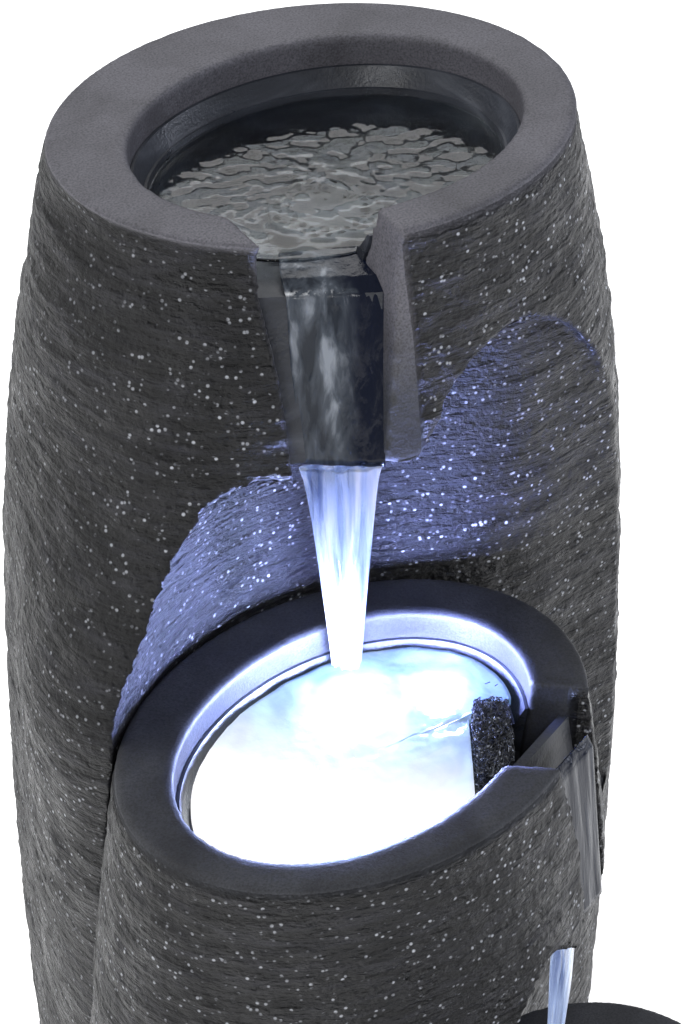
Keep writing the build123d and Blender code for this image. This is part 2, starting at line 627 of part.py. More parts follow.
def lamp_disc(radius, bottom, top, bore=0.0):
    with BuildPart() as disc:
        with BuildSketch(Plane.XY.offset(bottom)):
            with Locations(spot(LED_X, LED_Y)):
                Circle(radius)
                if bore:
                    Circle(bore, mode=Mode.SUBTRACT)
        extrude(amount=top - bottom)
    return disc.part


with BuildPart() as led_gasket:
    add(lamp_disc(LENS_RADIUS, MID_FLOOR_TOP, MID_FLOOR_TOP + 1, LED_TUBE))
save(led_gasket.part, "led_gasket")

with BuildPart() as led_lens:
    add(lamp_disc(LENS_RADIUS, MID_FLOOR_TOP + 1, MID_FLOOR_TOP + 3))
    fillet(led_lens.edges().group_by(Axis.Z)[-1], 0.8)
save(led_lens.part, "led_lens")

with BuildPart() as led_housing:
    add(lamp_disc(LED_TUBE, LED_FOOT, MID_FLOOR_TOP + 1))
    add(lamp_disc(LED_TUBE - 2, LED_FOOT + 2, MID_FLOOR_TOP + 1), mode=Mode.SUBTRACT)
    add(lamp_disc(LEAD_RADIUS, LED_FOOT - 1, LED_FOOT + 3), mode=Mode.SUBTRACT)
save(led_housing.part, "led_housing")

with BuildPart() as led_nut:
    add(lamp_disc(22, MID_HOLLOW_TOP - 6, MID_HOLLOW_TOP, LED_TUBE))
    with BuildSketch(Plane.XY.offset(MID_HOLLOW_TOP - 6)):
        with Locations(spot(LED_X, LED_Y)):
            with PolarLocations(22, 12):
                Rectangle(3, 4)
    extrude(amount=6, mode=Mode.SUBTRACT)
save(led_nut.part, "led_nut")

with BuildPart() as led_board:
    add(lamp_disc(LED_TUBE - 2, LED_BOARD, LED_BOARD + 1.6))
save(led_board.part, "led_board")

with BuildPart() as led_chips:
    with BuildSketch(Plane.XY.offset(LED_BOARD + 1.6)):
        with Locations(spot(LED_X, LED_Y)):
            Rectangle(3.5, 3.5)
            with PolarLocations(9, 8):
                Rectangle(3.5, 3.5)
    extrude(amount=0.8)
save(led_chips.part, "led_chips")


# ---- the low vessel, its deck and its grate ----

def low_oval(width, depth, bottom, top, centre=LOW_BOWL_CENTRE):
    with BuildPart() as plug:
        with BuildSketch(Plane.XY.offset(bottom)):
            with Locations(spot(*centre)):
                Ellipse(width, depth, rotation=LOW_BOWL_YAW)
        extrude(amount=top - bottom)
    return plug.part


def pipe_drill(start, end, radius, side=0.0, height=PIPE_HEIGHT):
    """A cylinder along the pipe, measured from the pump."""
    along = pipe_heading()
    across = along.cross(Vector(0, 0, 1))
    origin = Vector(*spot(PUMP_X, PUMP_Y, height)) + along * start + across * side
    with BuildPart() as drill:
        with BuildSketch(Plane(origin=origin, x_dir=across, z_dir=along)):
            Circle(radius)
        extrude(amount=end - start)
    return drill.part


def low_reservoir():
    """The inside of the low vessel below its ledge."""
    with BuildPart() as reservoir:
        add(low_envelope(-SHELL_WALL))
        with BuildSketch(Plane.XY.offset(SHELL_FOOT + LOW_FLOOR)):
            with Locations(spot(*LOW_CENTRE)):
                Rectangle(300, 300)
        extrude(amount=LEDGE_FOOT - SHELL_FOOT - LOW_FLOOR, mode=Mode.INTERSECT)
    return reservoir.part


with BuildPart() as lower_vessel:
    add(low_envelope())
    add(low_reservoir(), mode=Mode.SUBTRACT)
    add(low_oval(LOW_BOWL[0] - LEDGE_WIDTH, LOW_BOWL[1] - LEDGE_WIDTH, LEDGE_FOOT - 1, DECK_FOOT + 1),
        mode=Mode.SUBTRACT)
    add(low_oval(LOW_BOWL[0], LOW_BOWL[1], DECK_FOOT, LOW_RIM + 1), mode=Mode.SUBTRACT)
    add(pipe_drill(WALL_INSIDE - 16, WALL_INSIDE, NUT_RADIUS + 1), mode=Mode.SUBTRACT)
    add(pipe_drill(WALL_OUTSIDE, WALL_OUTSIDE + 16, NUT_RADIUS + 1), mode=Mode.SUBTRACT)
    add(pipe_drill(WALL_INSIDE - 2, WALL_OUTSIDE + 2, FITTING_BORE), mode=Mode.SUBTRACT)
    add(pipe_drill(WALL_INSIDE - 30, WALL_OUTSIDE + 16, GROMMET_RADIUS, LEAD_SIDE), mode=Mode.SUBTRACT)
save(lower_vessel.part, "lower_vessel")

with BuildPart() as lower_basin:
    add(low_oval(LOW_BOWL[0] - BOWL_PLAY, LOW_BOWL[1] - BOWL_PLAY, DECK_FOOT, LOW_RIM - RIM_LIP))
    add(low_oval(LOW_BOWL[0] - BOWL_PLAY - BOWL_WALL, LOW_BOWL[1] - BOWL_PLAY - BOWL_WALL,
                 DECK_FOOT + DECK_FLOOR, LOW_RIM), mode=Mode.SUBTRACT)
    add(low_oval(GRATE_OVAL[0], GRATE_OVAL[1], DECK_FOOT - 1, DECK_FOOT + DECK_FLOOR + 1, GRATE_CENTRE),
        mode=Mode.SUBTRACT)
save(lower_basin.part, "lower_basin")

with BuildPart() as drain_grate:
    add(low_oval(GRATE_OVAL[0] - 0.5, GRATE_OVAL[1] - 0.5, DECK_FOOT, DECK_FOOT + DECK_FLOOR + 0.3,
                 GRATE_CENTRE))
    add(low_oval(GRATE_OVAL[0] + 2.5, GRATE_OVAL[1] + 2.5, DECK_FOOT + DECK_FLOOR + 0.3,
                 DECK_FOOT + DECK_FLOOR + 2.3, GRATE_CENTRE))
    with BuildSketch(Plane.XY.offset(DECK_FOOT - 1)):
        with Locations(Location(spot(*GRATE_CENTRE, 0), (0, 0, LOW_BOWL_YAW))):
            with GridLocations(6.5, 1, 7, 1):
                SlotOverall(30, 3.2, rotation=90)
    extrude(amount=DECK_FLOOR + 6, mode=Mode.SUBTRACT)
save(drain_grate.part, "drain_grate")


# ---- the pump ----

def pump_plane(y):
    """An upright plane across the pump's axle, which runs along Y: x is across, y is height."""
    return Plane(origin=spot(PUMP_X, y, 0), x_dir=(1, 0, 0), z_dir=(0, -1, 0))


def pump_disc(radius, front, back, bore=0.0):
    with BuildPart() as disc:
        with BuildSketch(pump_plane(back)):
            with Locations((0, PUMP_AXLE)):
                Circle(radius)
                if bore:
                    Circle(bore, mode=Mode.SUBTRACT)
        extrude(amount=back - front)
    return disc.part


def pump_block(width, bottom, top, front, back, corner=0.0):
    with BuildPart() as block:
        with BuildSketch(pump_plane(back)):
            with Locations((0, (bottom + top) / 2)):
                if corner:
                    RectangleRounded(width, top - bottom, corner)
                else:
                    Rectangle(width, top - bottom)
        extrude(amount=back - front)
    return block.part


def stator_space():
    """Room for the stator round the rotor's well, open at the back."""
    with BuildPart() as space:
        add(pump_block(STATOR_WIDTH, STATOR_FOOT, STATOR_TOP, STATOR_FRONT, PUMP_BACK))
        add(pump_disc(WELL_RADIUS + 1.2, STATOR_FRONT, WELL_BACK + 1.2), mode=Mode.SUBTRACT)
    return space.part


with BuildPart() as pump_body:
    add(pump_block(PUMP_WIDTH, PUMP_FOOT, PUMP_TOP, VOLUTE_FRONT, PUMP_BACK, 4))
    add(upright_drill(PUMP_X, PUMP_Y, 4.6, PUMP_TOP - 1, PUMP_TOP + 8))
    add(pump_disc(VOLUTE_RADIUS, VOLUTE_FRONT, VOLUTE_BACK), mode=Mode.SUBTRACT)
    add(pump_disc(WELL_RADIUS, VOLUTE_FRONT, WELL_BACK), mode=Mode.SUBTRACT)
    add(pump_disc(O_RING + 1, VOLUTE_FRONT, VOLUTE_FRONT + 1.6, O_RING - 1), mode=Mode.SUBTRACT)
    add(upright_drill(PUMP_X, PUMP_Y, OUTLET_BORE, PUMP_AXLE, PUMP_TOP + 9), mode=Mode.SUBTRACT)
    add(stator_space(), mode=Mode.SUBTRACT)
save(pump_body.part, "pump_body")

with BuildPart() as pump_back_cover:
    add(pump_block(STATOR_WIDTH - 0.4, STATOR_FOOT + 0.2, STATOR_TOP - 0.2, PUMP_BACK - 2, PUMP_BACK))
save(pump_back_cover.part, "pump_back_cover")

with BuildPart() as stator_core:
    add(pump_block(STATOR_WIDTH - 1, CORE_FOOT, STATOR_TOP - 0.5, CORE_FRONT, CORE_BACK))
    add(pump_disc(WELL_RADIUS + 1.4, CORE_FRONT - 1, CORE_BACK + 1), mode=Mode.SUBTRACT)
    add(pump_block(STATOR_WIDTH - 11, CORE_FOOT + 4.4, PUMP_AXLE, CORE_FRONT - 1, CORE_BACK + 1),
        mode=Mode.SUBTRACT)
    add(pump_block(5, PUMP_AXLE, STATOR_TOP, CORE_FRONT - 1, CORE_BACK + 1), mode=Mode.SUBTRACT)
save(stator_core.part, "stator_core")

with BuildPart() as stator_coil:
    add(pump_block(STATOR_WIDTH - 13, CORE_FOOT - 2.8, CORE_FOOT + 7.2, CORE_FRONT - 2.8, CORE_BACK + 2.8,
                   1.5))
    add(pump_block(STATOR_WIDTH, CORE_FOOT - 0.1, CORE_FOOT + 4.5, CORE_FRONT - 0.1, CORE_BACK + 0.1),
        mode=Mode.SUBTRACT)
save(stator_coil.part, "stator_coil")

with BuildPart() as pump_o_ring:
    with BuildSketch(Plane(origin=spot(PUMP_X, VOLUTE_FRONT, PUMP_AXLE), x_dir=(1, 0, 0), z_dir=(0, 0, 1))):
        with Locations((O_RING, 0.8)):
            Circle(0.78)
    revolve(axis=Axis(spot(PUMP_X, VOLUTE_FRONT, PUMP_AXLE), (0, 1, 0)))
save(pump_o_ring.part, "pump_o_ring")

with BuildPart() as pump_cover:
    add(pump_block(PUMP_WIDTH, PUMP_FOOT, PUMP_TOP, VOLUTE_FRONT - 4, VOLUTE_FRONT, 4))
    with BuildSketch(pump_plane(VOLUTE_FRONT)):
        with Locations((0, PUMP_AXLE)):
            with PolarLocations(6.2, 6):
                Circle(2.2)
    extrude(amount=5, mode=Mode.SUBTRACT)
    add(pump_disc(BUSH_RADIUS, VOLUTE_FRONT - 2, VOLUTE_FRONT), mode=Mode.SUBTRACT)
save(pump_cover.part, "pump_cover")

with BuildPart() as shaft_bushes:
    add(pump_disc(BUSH_RADIUS, VOLUTE_FRONT - 2, VOLUTE_FRONT, SHAFT_RADIUS))
    add(pump_disc(BUSH_RADIUS, WELL_BACK - 2, WELL_BACK, SHAFT_RADIUS))
save(shaft_bushes.part, "shaft_bushes")

with BuildPart() as impeller_shaft:
    add(pump_disc(SHAFT_RADIUS, VOLUTE_FRONT - 2, WELL_BACK))
save(impeller_shaft.part, "impeller_shaft")

with BuildPart() as impeller:
    add(pump_disc(3, VOLUTE_FRONT + 0.6, WELL_BACK - 2.4))
    add(pump_disc(10.8, VOLUTE_BACK - 1.8, VOLUTE_BACK - 0.5))
    with BuildSketch(pump_plane(VOLUTE_BACK - 1.5)):
        with Locations((0, PUMP_AXLE)):
            with PolarLocations(6.5, 6):
                Rectangle(8, 1.2)
    extrude(amount=3.6)
    add(pump_disc(SHAFT_RADIUS + 0.06, VOLUTE_FRONT, WELL_BACK), mode=Mode.SUBTRACT)
save(impeller.part, "impeller")

with BuildPart() as rotor_magnet:
    add(pump_disc(WELL_RADIUS - 0.8, VOLUTE_BACK - 0.4, WELL_BACK - 3, 3))
save(rotor_magnet.part, "rotor_magnet")

with BuildPart() as intake_grille:
    add(pump_block(PUMP_WIDTH - 4, PUMP_FOOT + 2, PUMP_TOP - 2, GRILLE_FRONT, VOLUTE_FRONT - 4, 4))
    add(pump_block(PUMP_WIDTH - 8, PUMP_FOOT + 4, PUMP_TOP - 4, GRILLE_FRONT + 2, VOLUTE_FRONT - 3, 2),
        mode=Mode.SUBTRACT)
    with BuildSketch(pump_plane(GRILLE_FRONT + 3)):
        with Locations((0, PUMP_FOOT + 12)):
            with GridLocations(4.4, 1, 6, 1):
                SlotOverall(14, 2, rotation=90)
        with Locations((0, DIAL_HEIGHT)):
            Circle(DIAL_PIN + 0.08)
    extrude(amount=5, mode=Mode.SUBTRACT)
save(intake_grille.part, "intake_grille")

with BuildPart() as flow_dial:
    with BuildSketch(pump_plane(GRILLE_FRONT - 0.3)):
        with Locations((0, DIAL_HEIGHT)):
            Circle(6.5)
            with PolarLocations(6.5, 12):
                Circle(0.7, mode=Mode.SUBTRACT)
    extrude(amount=2.4)
    with BuildSketch(pump_plane(GRILLE_FRONT - 2.7)):
        with Locations((0, DIAL_HEIGHT)):
            Rectangle(2, 10)
    extrude(amount=1.4)
    with BuildSketch(pump_plane(GRILLE_FRONT + 3)):
        with Locations((0, DIAL_HEIGHT)):
            Circle(DIAL_PIN)
    extrude(amount=3.4)
save(flow_dial.part, "flow_dial")

with BuildPart() as suction_cups:
    with BuildSketch(Plane(origin=spot(PUMP_X, 0, 0), x_dir=(1, 0, 0), z_dir=(0, -1, 0))):
        with BuildLine():
            Polyline((0, CUP_FOOT + 1.5), (5, CUP_FOOT), (5.6, CUP_FOOT + 0.4), (1.8, PUMP_FOOT - 1.6),
                     (1.8, PUMP_FOOT), (0, PUMP_FOOT), close=True)
        make_face()
    revolve(axis=Axis(spot(PUMP_X, 0, 0), (0, 0, 1)))
cup = suction_cups.part
with BuildPart() as suction_cups:
    with Locations(*[(side * 12.5, y, 0) for side in (-1, 1) for y in (VOLUTE_FRONT + 6, PUMP_BACK - 6)]):
        add(cup)
save(suction_cups.part, "suction_cups")


# ---- hoses, fittings and leads ----

with BuildPart() as outlet_elbow:
    start = Vector(*spot(PUMP_X, PUMP_Y, PUMP_TOP + 10))
    along = pipe_heading()
    with BuildLine():
        FilletPolyline(start, start + Vector(0, 0, PIPE_HEIGHT - PUMP_TOP - 10),
                       start + Vector(0, 0, PIPE_HEIGHT - PUMP_TOP - 10) + along * 32, radius=12)
    with BuildSketch(Plane(origin=start, z_dir=(0, 0, 1))):
        Circle(BARB_RADIUS)
    sweep()
    add(upright_drill(PUMP_X, PUMP_Y, 6.5, PUMP_TOP, PUMP_TOP + 11))
    add(upright_drill(PUMP_X, PUMP_Y, 4.65, PUMP_TOP - 1, PUMP_TOP + 8.1), mode=Mode.SUBTRACT)
    with BuildSketch(Plane(origin=start, z_dir=(0, 0, 1))):
        Circle(PIPE_BORE)
    with BuildLine():
        FilletPolyline(start, start + Vector(0, 0, PIPE_HEIGHT - PUMP_TOP - 10),
                       start + Vector(0, 0, PIPE_HEIGHT - PUMP_TOP - 10) + along * 32, radius=12)
    sweep(mode=Mode.SUBTRACT)
    add(upright_drill(PUMP_X, PUMP_Y, PIPE_BORE, PUMP_TOP, PUMP_TOP + 10.5), mode=Mode.SUBTRACT)
save(outlet_elbow.part, "outlet_elbow")

with BuildPart() as pump_hose:
    add(pipe_drill(22, WALL_INSIDE - 3.2, HOSE_OUTER))
    add(pipe_drill(21, WALL_INSIDE, HOSE_INNER), mode=Mode.SUBTRACT)
save(pump_hose.part, "pump_hose")

with BuildPart() as wall_fitting:
    add(pipe_drill(WALL_INSIDE - 3 - BARB_LENGTH, WALL_OUTSIDE + 8 + BARB_LENGTH, BARB_RADIUS))
    add(pipe_drill(WALL_INSIDE - 3, WALL_INSIDE, 10.5))
    add(pipe_drill(WALL_INSIDE - 1, WALL_OUTSIDE + 8, FITTING_STEM))
    add(pipe_drill(WALL_INSIDE - 20, WALL_OUTSIDE + 30, PIPE_BORE), mode=Mode.SUBTRACT)
save(wall_fitting.part, "wall_fitting")

with BuildPart() as wall_fitting_nut:
    add(pipe_drill(WALL_OUTSIDE, WALL_OUTSIDE + 6, NUT_RADIUS - 1))
    add(pipe_drill(WALL_OUTSIDE - 1, WALL_OUTSIDE + 7, FITTING_STEM), mode=Mode.SUBTRACT)
save(wall_fitting_nut.part, "wall_fitting_nut")


def riser_path():
    """From the low vessel's wall along the tunnel, round a bend and up to the top bowl."""
    along = pipe_heading()
    start = Vector(*spot(PUMP_X, PUMP_Y, PIPE_HEIGHT)) + along * (WALL_OUTSIDE + 8.2)
    corner = Vector(*spot(RISER_X, RISER_Y, PIPE_HEIGHT))
    return start, corner, Vector(*spot(RISER_X, RISER_Y, RISER_TOP - 0.2))


with BuildPart() as riser_hose:
    start, corner, end = riser_path()
    with BuildLine():
        FilletPolyline(start, corner, end, radius=RISER_BEND)
    with BuildSketch(Plane(origin=start, z_dir=pipe_heading())):
        Circle(HOSE_OUTER)
        Circle(HOSE_INNER, mode=Mode.SUBTRACT)
    sweep()
save(riser_hose.part, "riser_hose")

with BuildPart() as hose_clamps:
    for clamp_start in (24, WALL_INSIDE - 3 - BARB_LENGTH + 2, WALL_OUTSIDE + 10):
        add(pipe_drill(clamp_start, clamp_start + 5, HOSE_OUTER + 1.2))
        add(pipe_drill(clamp_start - 1, clamp_start + 6, HOSE_OUTER), mode=Mode.SUBTRACT)
    add(upright_drill(RISER_X, RISER_Y, HOSE_OUTER + 1.2, RISER_TOP - 8, RISER_TOP - 3))
    add(upright_drill(RISER_X, RISER_Y, HOSE_OUTER, RISER_TOP - 9, RISER_TOP - 2), mode=Mode.SUBTRACT)
save(hose_clamps.part, "hose_clamps")

with BuildPart() as lead_grommet:
    add(pipe_drill(WALL_INSIDE - 4, WALL_OUTSIDE, GROMMET_RADIUS, LEAD_SIDE))
    add(pipe_drill(WALL_INSIDE - 5, WALL_OUTSIDE + 5, LEAD_RADIUS, LEAD_SIDE), mode=Mode.SUBTRACT)
save(lead_grommet.part, "lead_grommet")


def along_pipe(distance, side, height):
    along = pipe_heading()
    return Vector(*spot(PUMP_X, PUMP_Y, height)) + along * distance + along.cross(Vector(0, 0, 1)) * side


def lead(points, bends):
    """A round lead: straight runs joined by arcs."""
    with BuildPart() as wire:
        with BuildLine():
            FilletPolyline(*points, radius=bends)
        with BuildSketch(Plane(origin=points[0], z_dir=points[1] - points[0])):
            Circle(LEAD_RADIUS)
        sweep()
    return wire.part


with BuildPart() as pump_lead:
    gland = Vector(*spot(GLAND_X + 1.9, 0, GLAND_Z))
    add(lead((
        Vector(*spot(PUMP_X + 6, PUMP_BACK, 44)), Vector(*spot(PUMP_X + 6, PUMP_BACK + 18, 44)),
        along_pipe(WALL_INSIDE - 22, LEAD_SIDE, PIPE_HEIGHT),
        along_pipe(WALL_INSIDE + 50, LEAD_SIDE, PIPE_HEIGHT),
        along_pipe(WALL_INSIDE + 103, 8, PIPE_HEIGHT),
        Vector(*spot(GLAND_X + 10, 22, 50)), gland + Vector(0, 56, 0), gland + Vector(0, GLAND_FACE, 0),
    ), 9))
save(pump_lead.part, "pump_lead")

with BuildPart() as led_lead:
    gland = Vector(*spot(GLAND_X - 1.9, 0, GLAND_Z))
    add(lead((
        Vector(*spot(LED_X, LED_Y, LED_BOARD)), Vector(*spot(LED_X, LED_Y, 150)),
        along_pipe(134, -13, PIPE_HEIGHT), along_pipe(170, -13, PIPE_HEIGHT - 2),
        Vector(*spot(GLAND_X - 20, 16, 44)), gland + Vector(0, 56, 0), gland + Vector(0, GLAND_FACE, 0),
    ), 9))
save(led_lead.part, "led_lead")

with BuildPart() as cable_gland:
    add(gland_drill(GLAND_FLANGE, GLAND_FACE, GLAND_FACE + 3))
    add(gland_drill(GLAND_STEM, GLAND_FACE - 14, GLAND_FACE))
    add(gland_drill(GLAND_BORE, GLAND_FACE - 15, GLAND_FACE + 4), mode=Mode.SUBTRACT)
save(cable_gland.part, "cable_gland")

with BuildPart() as gland_nut:
    add(gland_drill(GLAND_NUT, GLAND_FACE - GLAND_SEAT - 4, GLAND_FACE - GLAND_SEAT))
    add(gland_drill(GLAND_STEM, GLAND_FACE - GLAND_SEAT - 5, GLAND_FACE), mode=Mode.SUBTRACT)
save(gland_nut.part, "gland_nut")

with BuildPart() as rear_panel:
    add(panel_block(PANEL_PLAY, PANEL_SEAT + 0.3, PANEL_SEAT + 40))
    add(column_body(), mode=Mode.INTERSECT)
save(rear_panel.part, "rear_panel")


# ---- bottom covers, screws and feet ----

def screw_hole(x, y):
    """A through hole with a recess for the screw's head."""
    with BuildPart() as hole:
        add(upright_drill(x, y, SCREW_RADIUS + 0.3, SHELL_FOOT - 1, SHELL_FOOT + BASE_COVER + 1))
        add(upright_drill(x, y, SCREW_HEAD + 0.4, SHELL_FOOT - 1, SHELL_FOOT + 2.2))
    return hole.part


with BuildPart() as column_base_cover:
    with BuildSketch(Plane.XY.offset(SHELL_FOOT)):
        half_widths = [axis * COLUMN_FOOT_WIDTH - SHELL_WALL - COVER_PLAY for axis in COLUMN_OVAL]
        with Locations(spot(0, 0)):
            Ellipse(*half_widths, rotation=COLUMN_YAW)
        with Locations(spot(0, COLUMN_HOLLOW_FRONT + COVER_PLAY + 150)):
            Rectangle(400, 300, mode=Mode.INTERSECT)
    extrude(amount=BASE_COVER)
    for x, y in column_boss_spots():
        add(screw_hole(x, y), mode=Mode.SUBTRACT)
save(column_base_cover.part, "column_base_cover")

with BuildPart() as middle_base_cover:
    add(mid_hollow(COVER_PLAY, SHELL_FOOT + BASE_COVER))
    for x, y in mid_boss_spots():
        add(screw_hole(x, y), mode=Mode.SUBTRACT)
save(middle_base_cover.part, "middle_base_cover")

with BuildPart() as base_screws:
    for x, y in column_boss_spots() + mid_boss_spots():
        add(upright_drill(x, y, SCREW_HEAD, SHELL_FOOT + 0.3, SHELL_FOOT + 2.2))
        add(upright_drill(x, y, SCREW_RADIUS, SHELL_FOOT + 2, SHELL_FOOT + 2.2 + SCREW_LENGTH))
save(base_screws.part, "base_screws")

with BuildPart() as rubber_feet:
    low_feet = []
    for angle in LOW_FOOT_ANGLES:
        place = heading(angle) * LOW_FOOT_REACH * oval_radius(radians(angle), LOW_OVAL, LOW_YAW)
        low_feet.append((LOW_CENTRE[0] + place.X, LOW_CENTRE[1] + place.Y))
    for x, y in (*COLUMN_FEET, *MID_FEET, *low_feet):
        add(upright_drill(x, y, FOOT_RADIUS, 0, SHELL_FOOT))
save(rubber_feet.part, "rubber_feet")
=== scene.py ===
import bpy
import numpy as np
from math import cos, pi, radians, sin
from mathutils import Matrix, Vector, noise
from mathutils.bvhtree import BVHTree


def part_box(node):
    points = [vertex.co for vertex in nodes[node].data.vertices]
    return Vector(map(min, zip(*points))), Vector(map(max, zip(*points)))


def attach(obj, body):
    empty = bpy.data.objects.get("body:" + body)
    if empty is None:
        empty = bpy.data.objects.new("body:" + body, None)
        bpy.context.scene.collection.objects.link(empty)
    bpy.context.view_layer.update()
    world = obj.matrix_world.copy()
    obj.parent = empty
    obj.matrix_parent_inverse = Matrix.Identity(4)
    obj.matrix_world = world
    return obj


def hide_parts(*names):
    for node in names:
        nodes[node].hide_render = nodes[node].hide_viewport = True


# The stone vessels are re-meshed from the CAD solids and combed, the water, the foam and the lamp's glow
# are added, and every other node keeps its CAD shape with its own material.

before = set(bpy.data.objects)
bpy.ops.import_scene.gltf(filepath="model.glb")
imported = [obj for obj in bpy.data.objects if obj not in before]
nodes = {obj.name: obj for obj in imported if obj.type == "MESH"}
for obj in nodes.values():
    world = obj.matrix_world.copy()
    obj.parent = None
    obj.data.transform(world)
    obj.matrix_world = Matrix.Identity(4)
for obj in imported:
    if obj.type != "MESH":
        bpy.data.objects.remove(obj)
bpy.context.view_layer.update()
rng = np.random.default_rng(7)
MM = 0.001


# ---- where things are, from the frame ----

cap_low, cap_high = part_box("diffuser_cap")
TOP_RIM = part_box("column_shell")[1].z
MID_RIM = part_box("middle_vessel")[1].z
LOW_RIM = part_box("lower_vessel")[1].z
RISER = (cap_low + cap_high) / 2
AXIS = Vector((RISER.x - 1.5 * MM, RISER.y + 5.3 * MM, 0))

# centres of the two outer vessels from the column's axis, and the directions of the slots
MID_CENTRE, LOW_CENTRE = (-51, -105.3), (-20, -189)
COLUMN_FRONT, MID_FRONT, MID_SLOT = -90, -65, -38
TOP_LIP, MID_LIP = 0.3405, 0.1995

# the foam's front face: its direction and distance from the middle bowl's centre, and half its width
FOAM_ANGLE, FOAM_FRONT, FOAM_HALF = -30.4, 35.2, 24.0

# pools: centre from the column's axis, half widths at the water line, turn, height of the water
TOP_POOL = dict(centre=(1.9, -4.9), axes=(57.9, 42.6), yaw=-2.5, level=TOP_RIM - 18 * MM)
MID_POOL = dict(centre=(-52.4, -107.6), axes=(58.6, 39.2), yaw=16.3, level=MID_RIM - 10.5 * MM)
LOW_POOL = dict(centre=(-21.0, -190.0), axes=(51.4, 37.9), yaw=40.0, level=LOW_RIM - 12 * MM)


def at(x, y, z=0.0):
    """A plan position in millimetres from the column's axis, with a height in metres."""
    return Vector((AXIS.x + x * MM, AXIS.y + y * MM, z))


def heading(degrees):
    """Unit vectors along a plan direction and across it."""
    turn = radians(degrees)
    return (cos(turn), sin(turn)), (-sin(turn), cos(turn))


# ---- small tools ----

def new_object(name, vertices, faces, smooth=True):
    mesh = bpy.data.meshes.new(name)
    mesh.from_pydata([tuple(v) for v in vertices], [], [tuple(f) for f in faces])
    mesh.validate()
    piece = bpy.data.objects.new(name, mesh)
    bpy.context.scene.collection.objects.link(piece)
    if smooth:
        mesh.shade_smooth()
    return piece


def coordinates(mesh):
    flat = np.empty(len(mesh.vertices) * 3, np.float32)
    mesh.vertices.foreach_get("co", flat)
    return flat.reshape(-1, 3).astype(np.float64)


def normals(mesh):
    flat = np.empty(len(mesh.vertices) * 3, np.float32)
    mesh.vertices.foreach_get("normal", flat)
    return flat.reshape(-1, 3).astype(np.float64)


def set_coordinates(mesh, points):
    mesh.vertices.foreach_set("co", points.astype(np.float32).ravel())
    mesh.update()


def edge_pairs(mesh):
    flat = np.empty(len(mesh.edges) * 2, np.int32)
    mesh.edges.foreach_get("vertices", flat)
    return flat.reshape(-1, 2)


def relax(points, pairs, weight, rounds):
    """Moves each point towards the mean of its neighbours, as far as its weight allows."""
    count = np.bincount(pairs.ravel(), minlength=len(points)).clip(1)[:, None]
    for _ in range(rounds):
        total = np.zeros_like(points)
        for axis in range(3):
            total[:, axis] = np.bincount(pairs[:, 0], points[pairs[:, 1], axis], len(points))
            total[:, axis] += np.bincount(pairs[:, 1], points[pairs[:, 0], axis], len(points))
        points = points + weight[:, None] * (total / count - points)
    return points


def lattice_noise(points, scale, seed):
    """Smooth value noise on a grid, for many points at once. Returns -1 to 1."""
    table = np.random.default_rng(seed).uniform(-1, 1, 4096)
    place = points * scale + 100.0
    cell = np.floor(place).astype(np.int64)
    part = place - cell
    part = part * part * (3 - 2 * part)
    value = np.zeros(len(points))
    for dx in (0, 1):
        for dy in (0, 1):
            for dz in (0, 1):
                key = (cell[:, 0] + dx) * 73856093
                key = key ^ ((cell[:, 1] + dy) * 19349663) ^ ((cell[:, 2] + dz) * 83492791)
                weight = (part[:, 0] if dx else 1 - part[:, 0]) * (part[:, 1] if dy else 1 - part[:, 1])
                weight = weight * (part[:, 2] if dz else 1 - part[:, 2])
                value += weight * table[key % 4096]
    return value


def add_attribute(mesh, name, values):
    layer = mesh.attributes.new(name, "FLOAT", "POINT")
    layer.data.foreach_set("value", np.asarray(values, np.float32))


# ---- materials ----

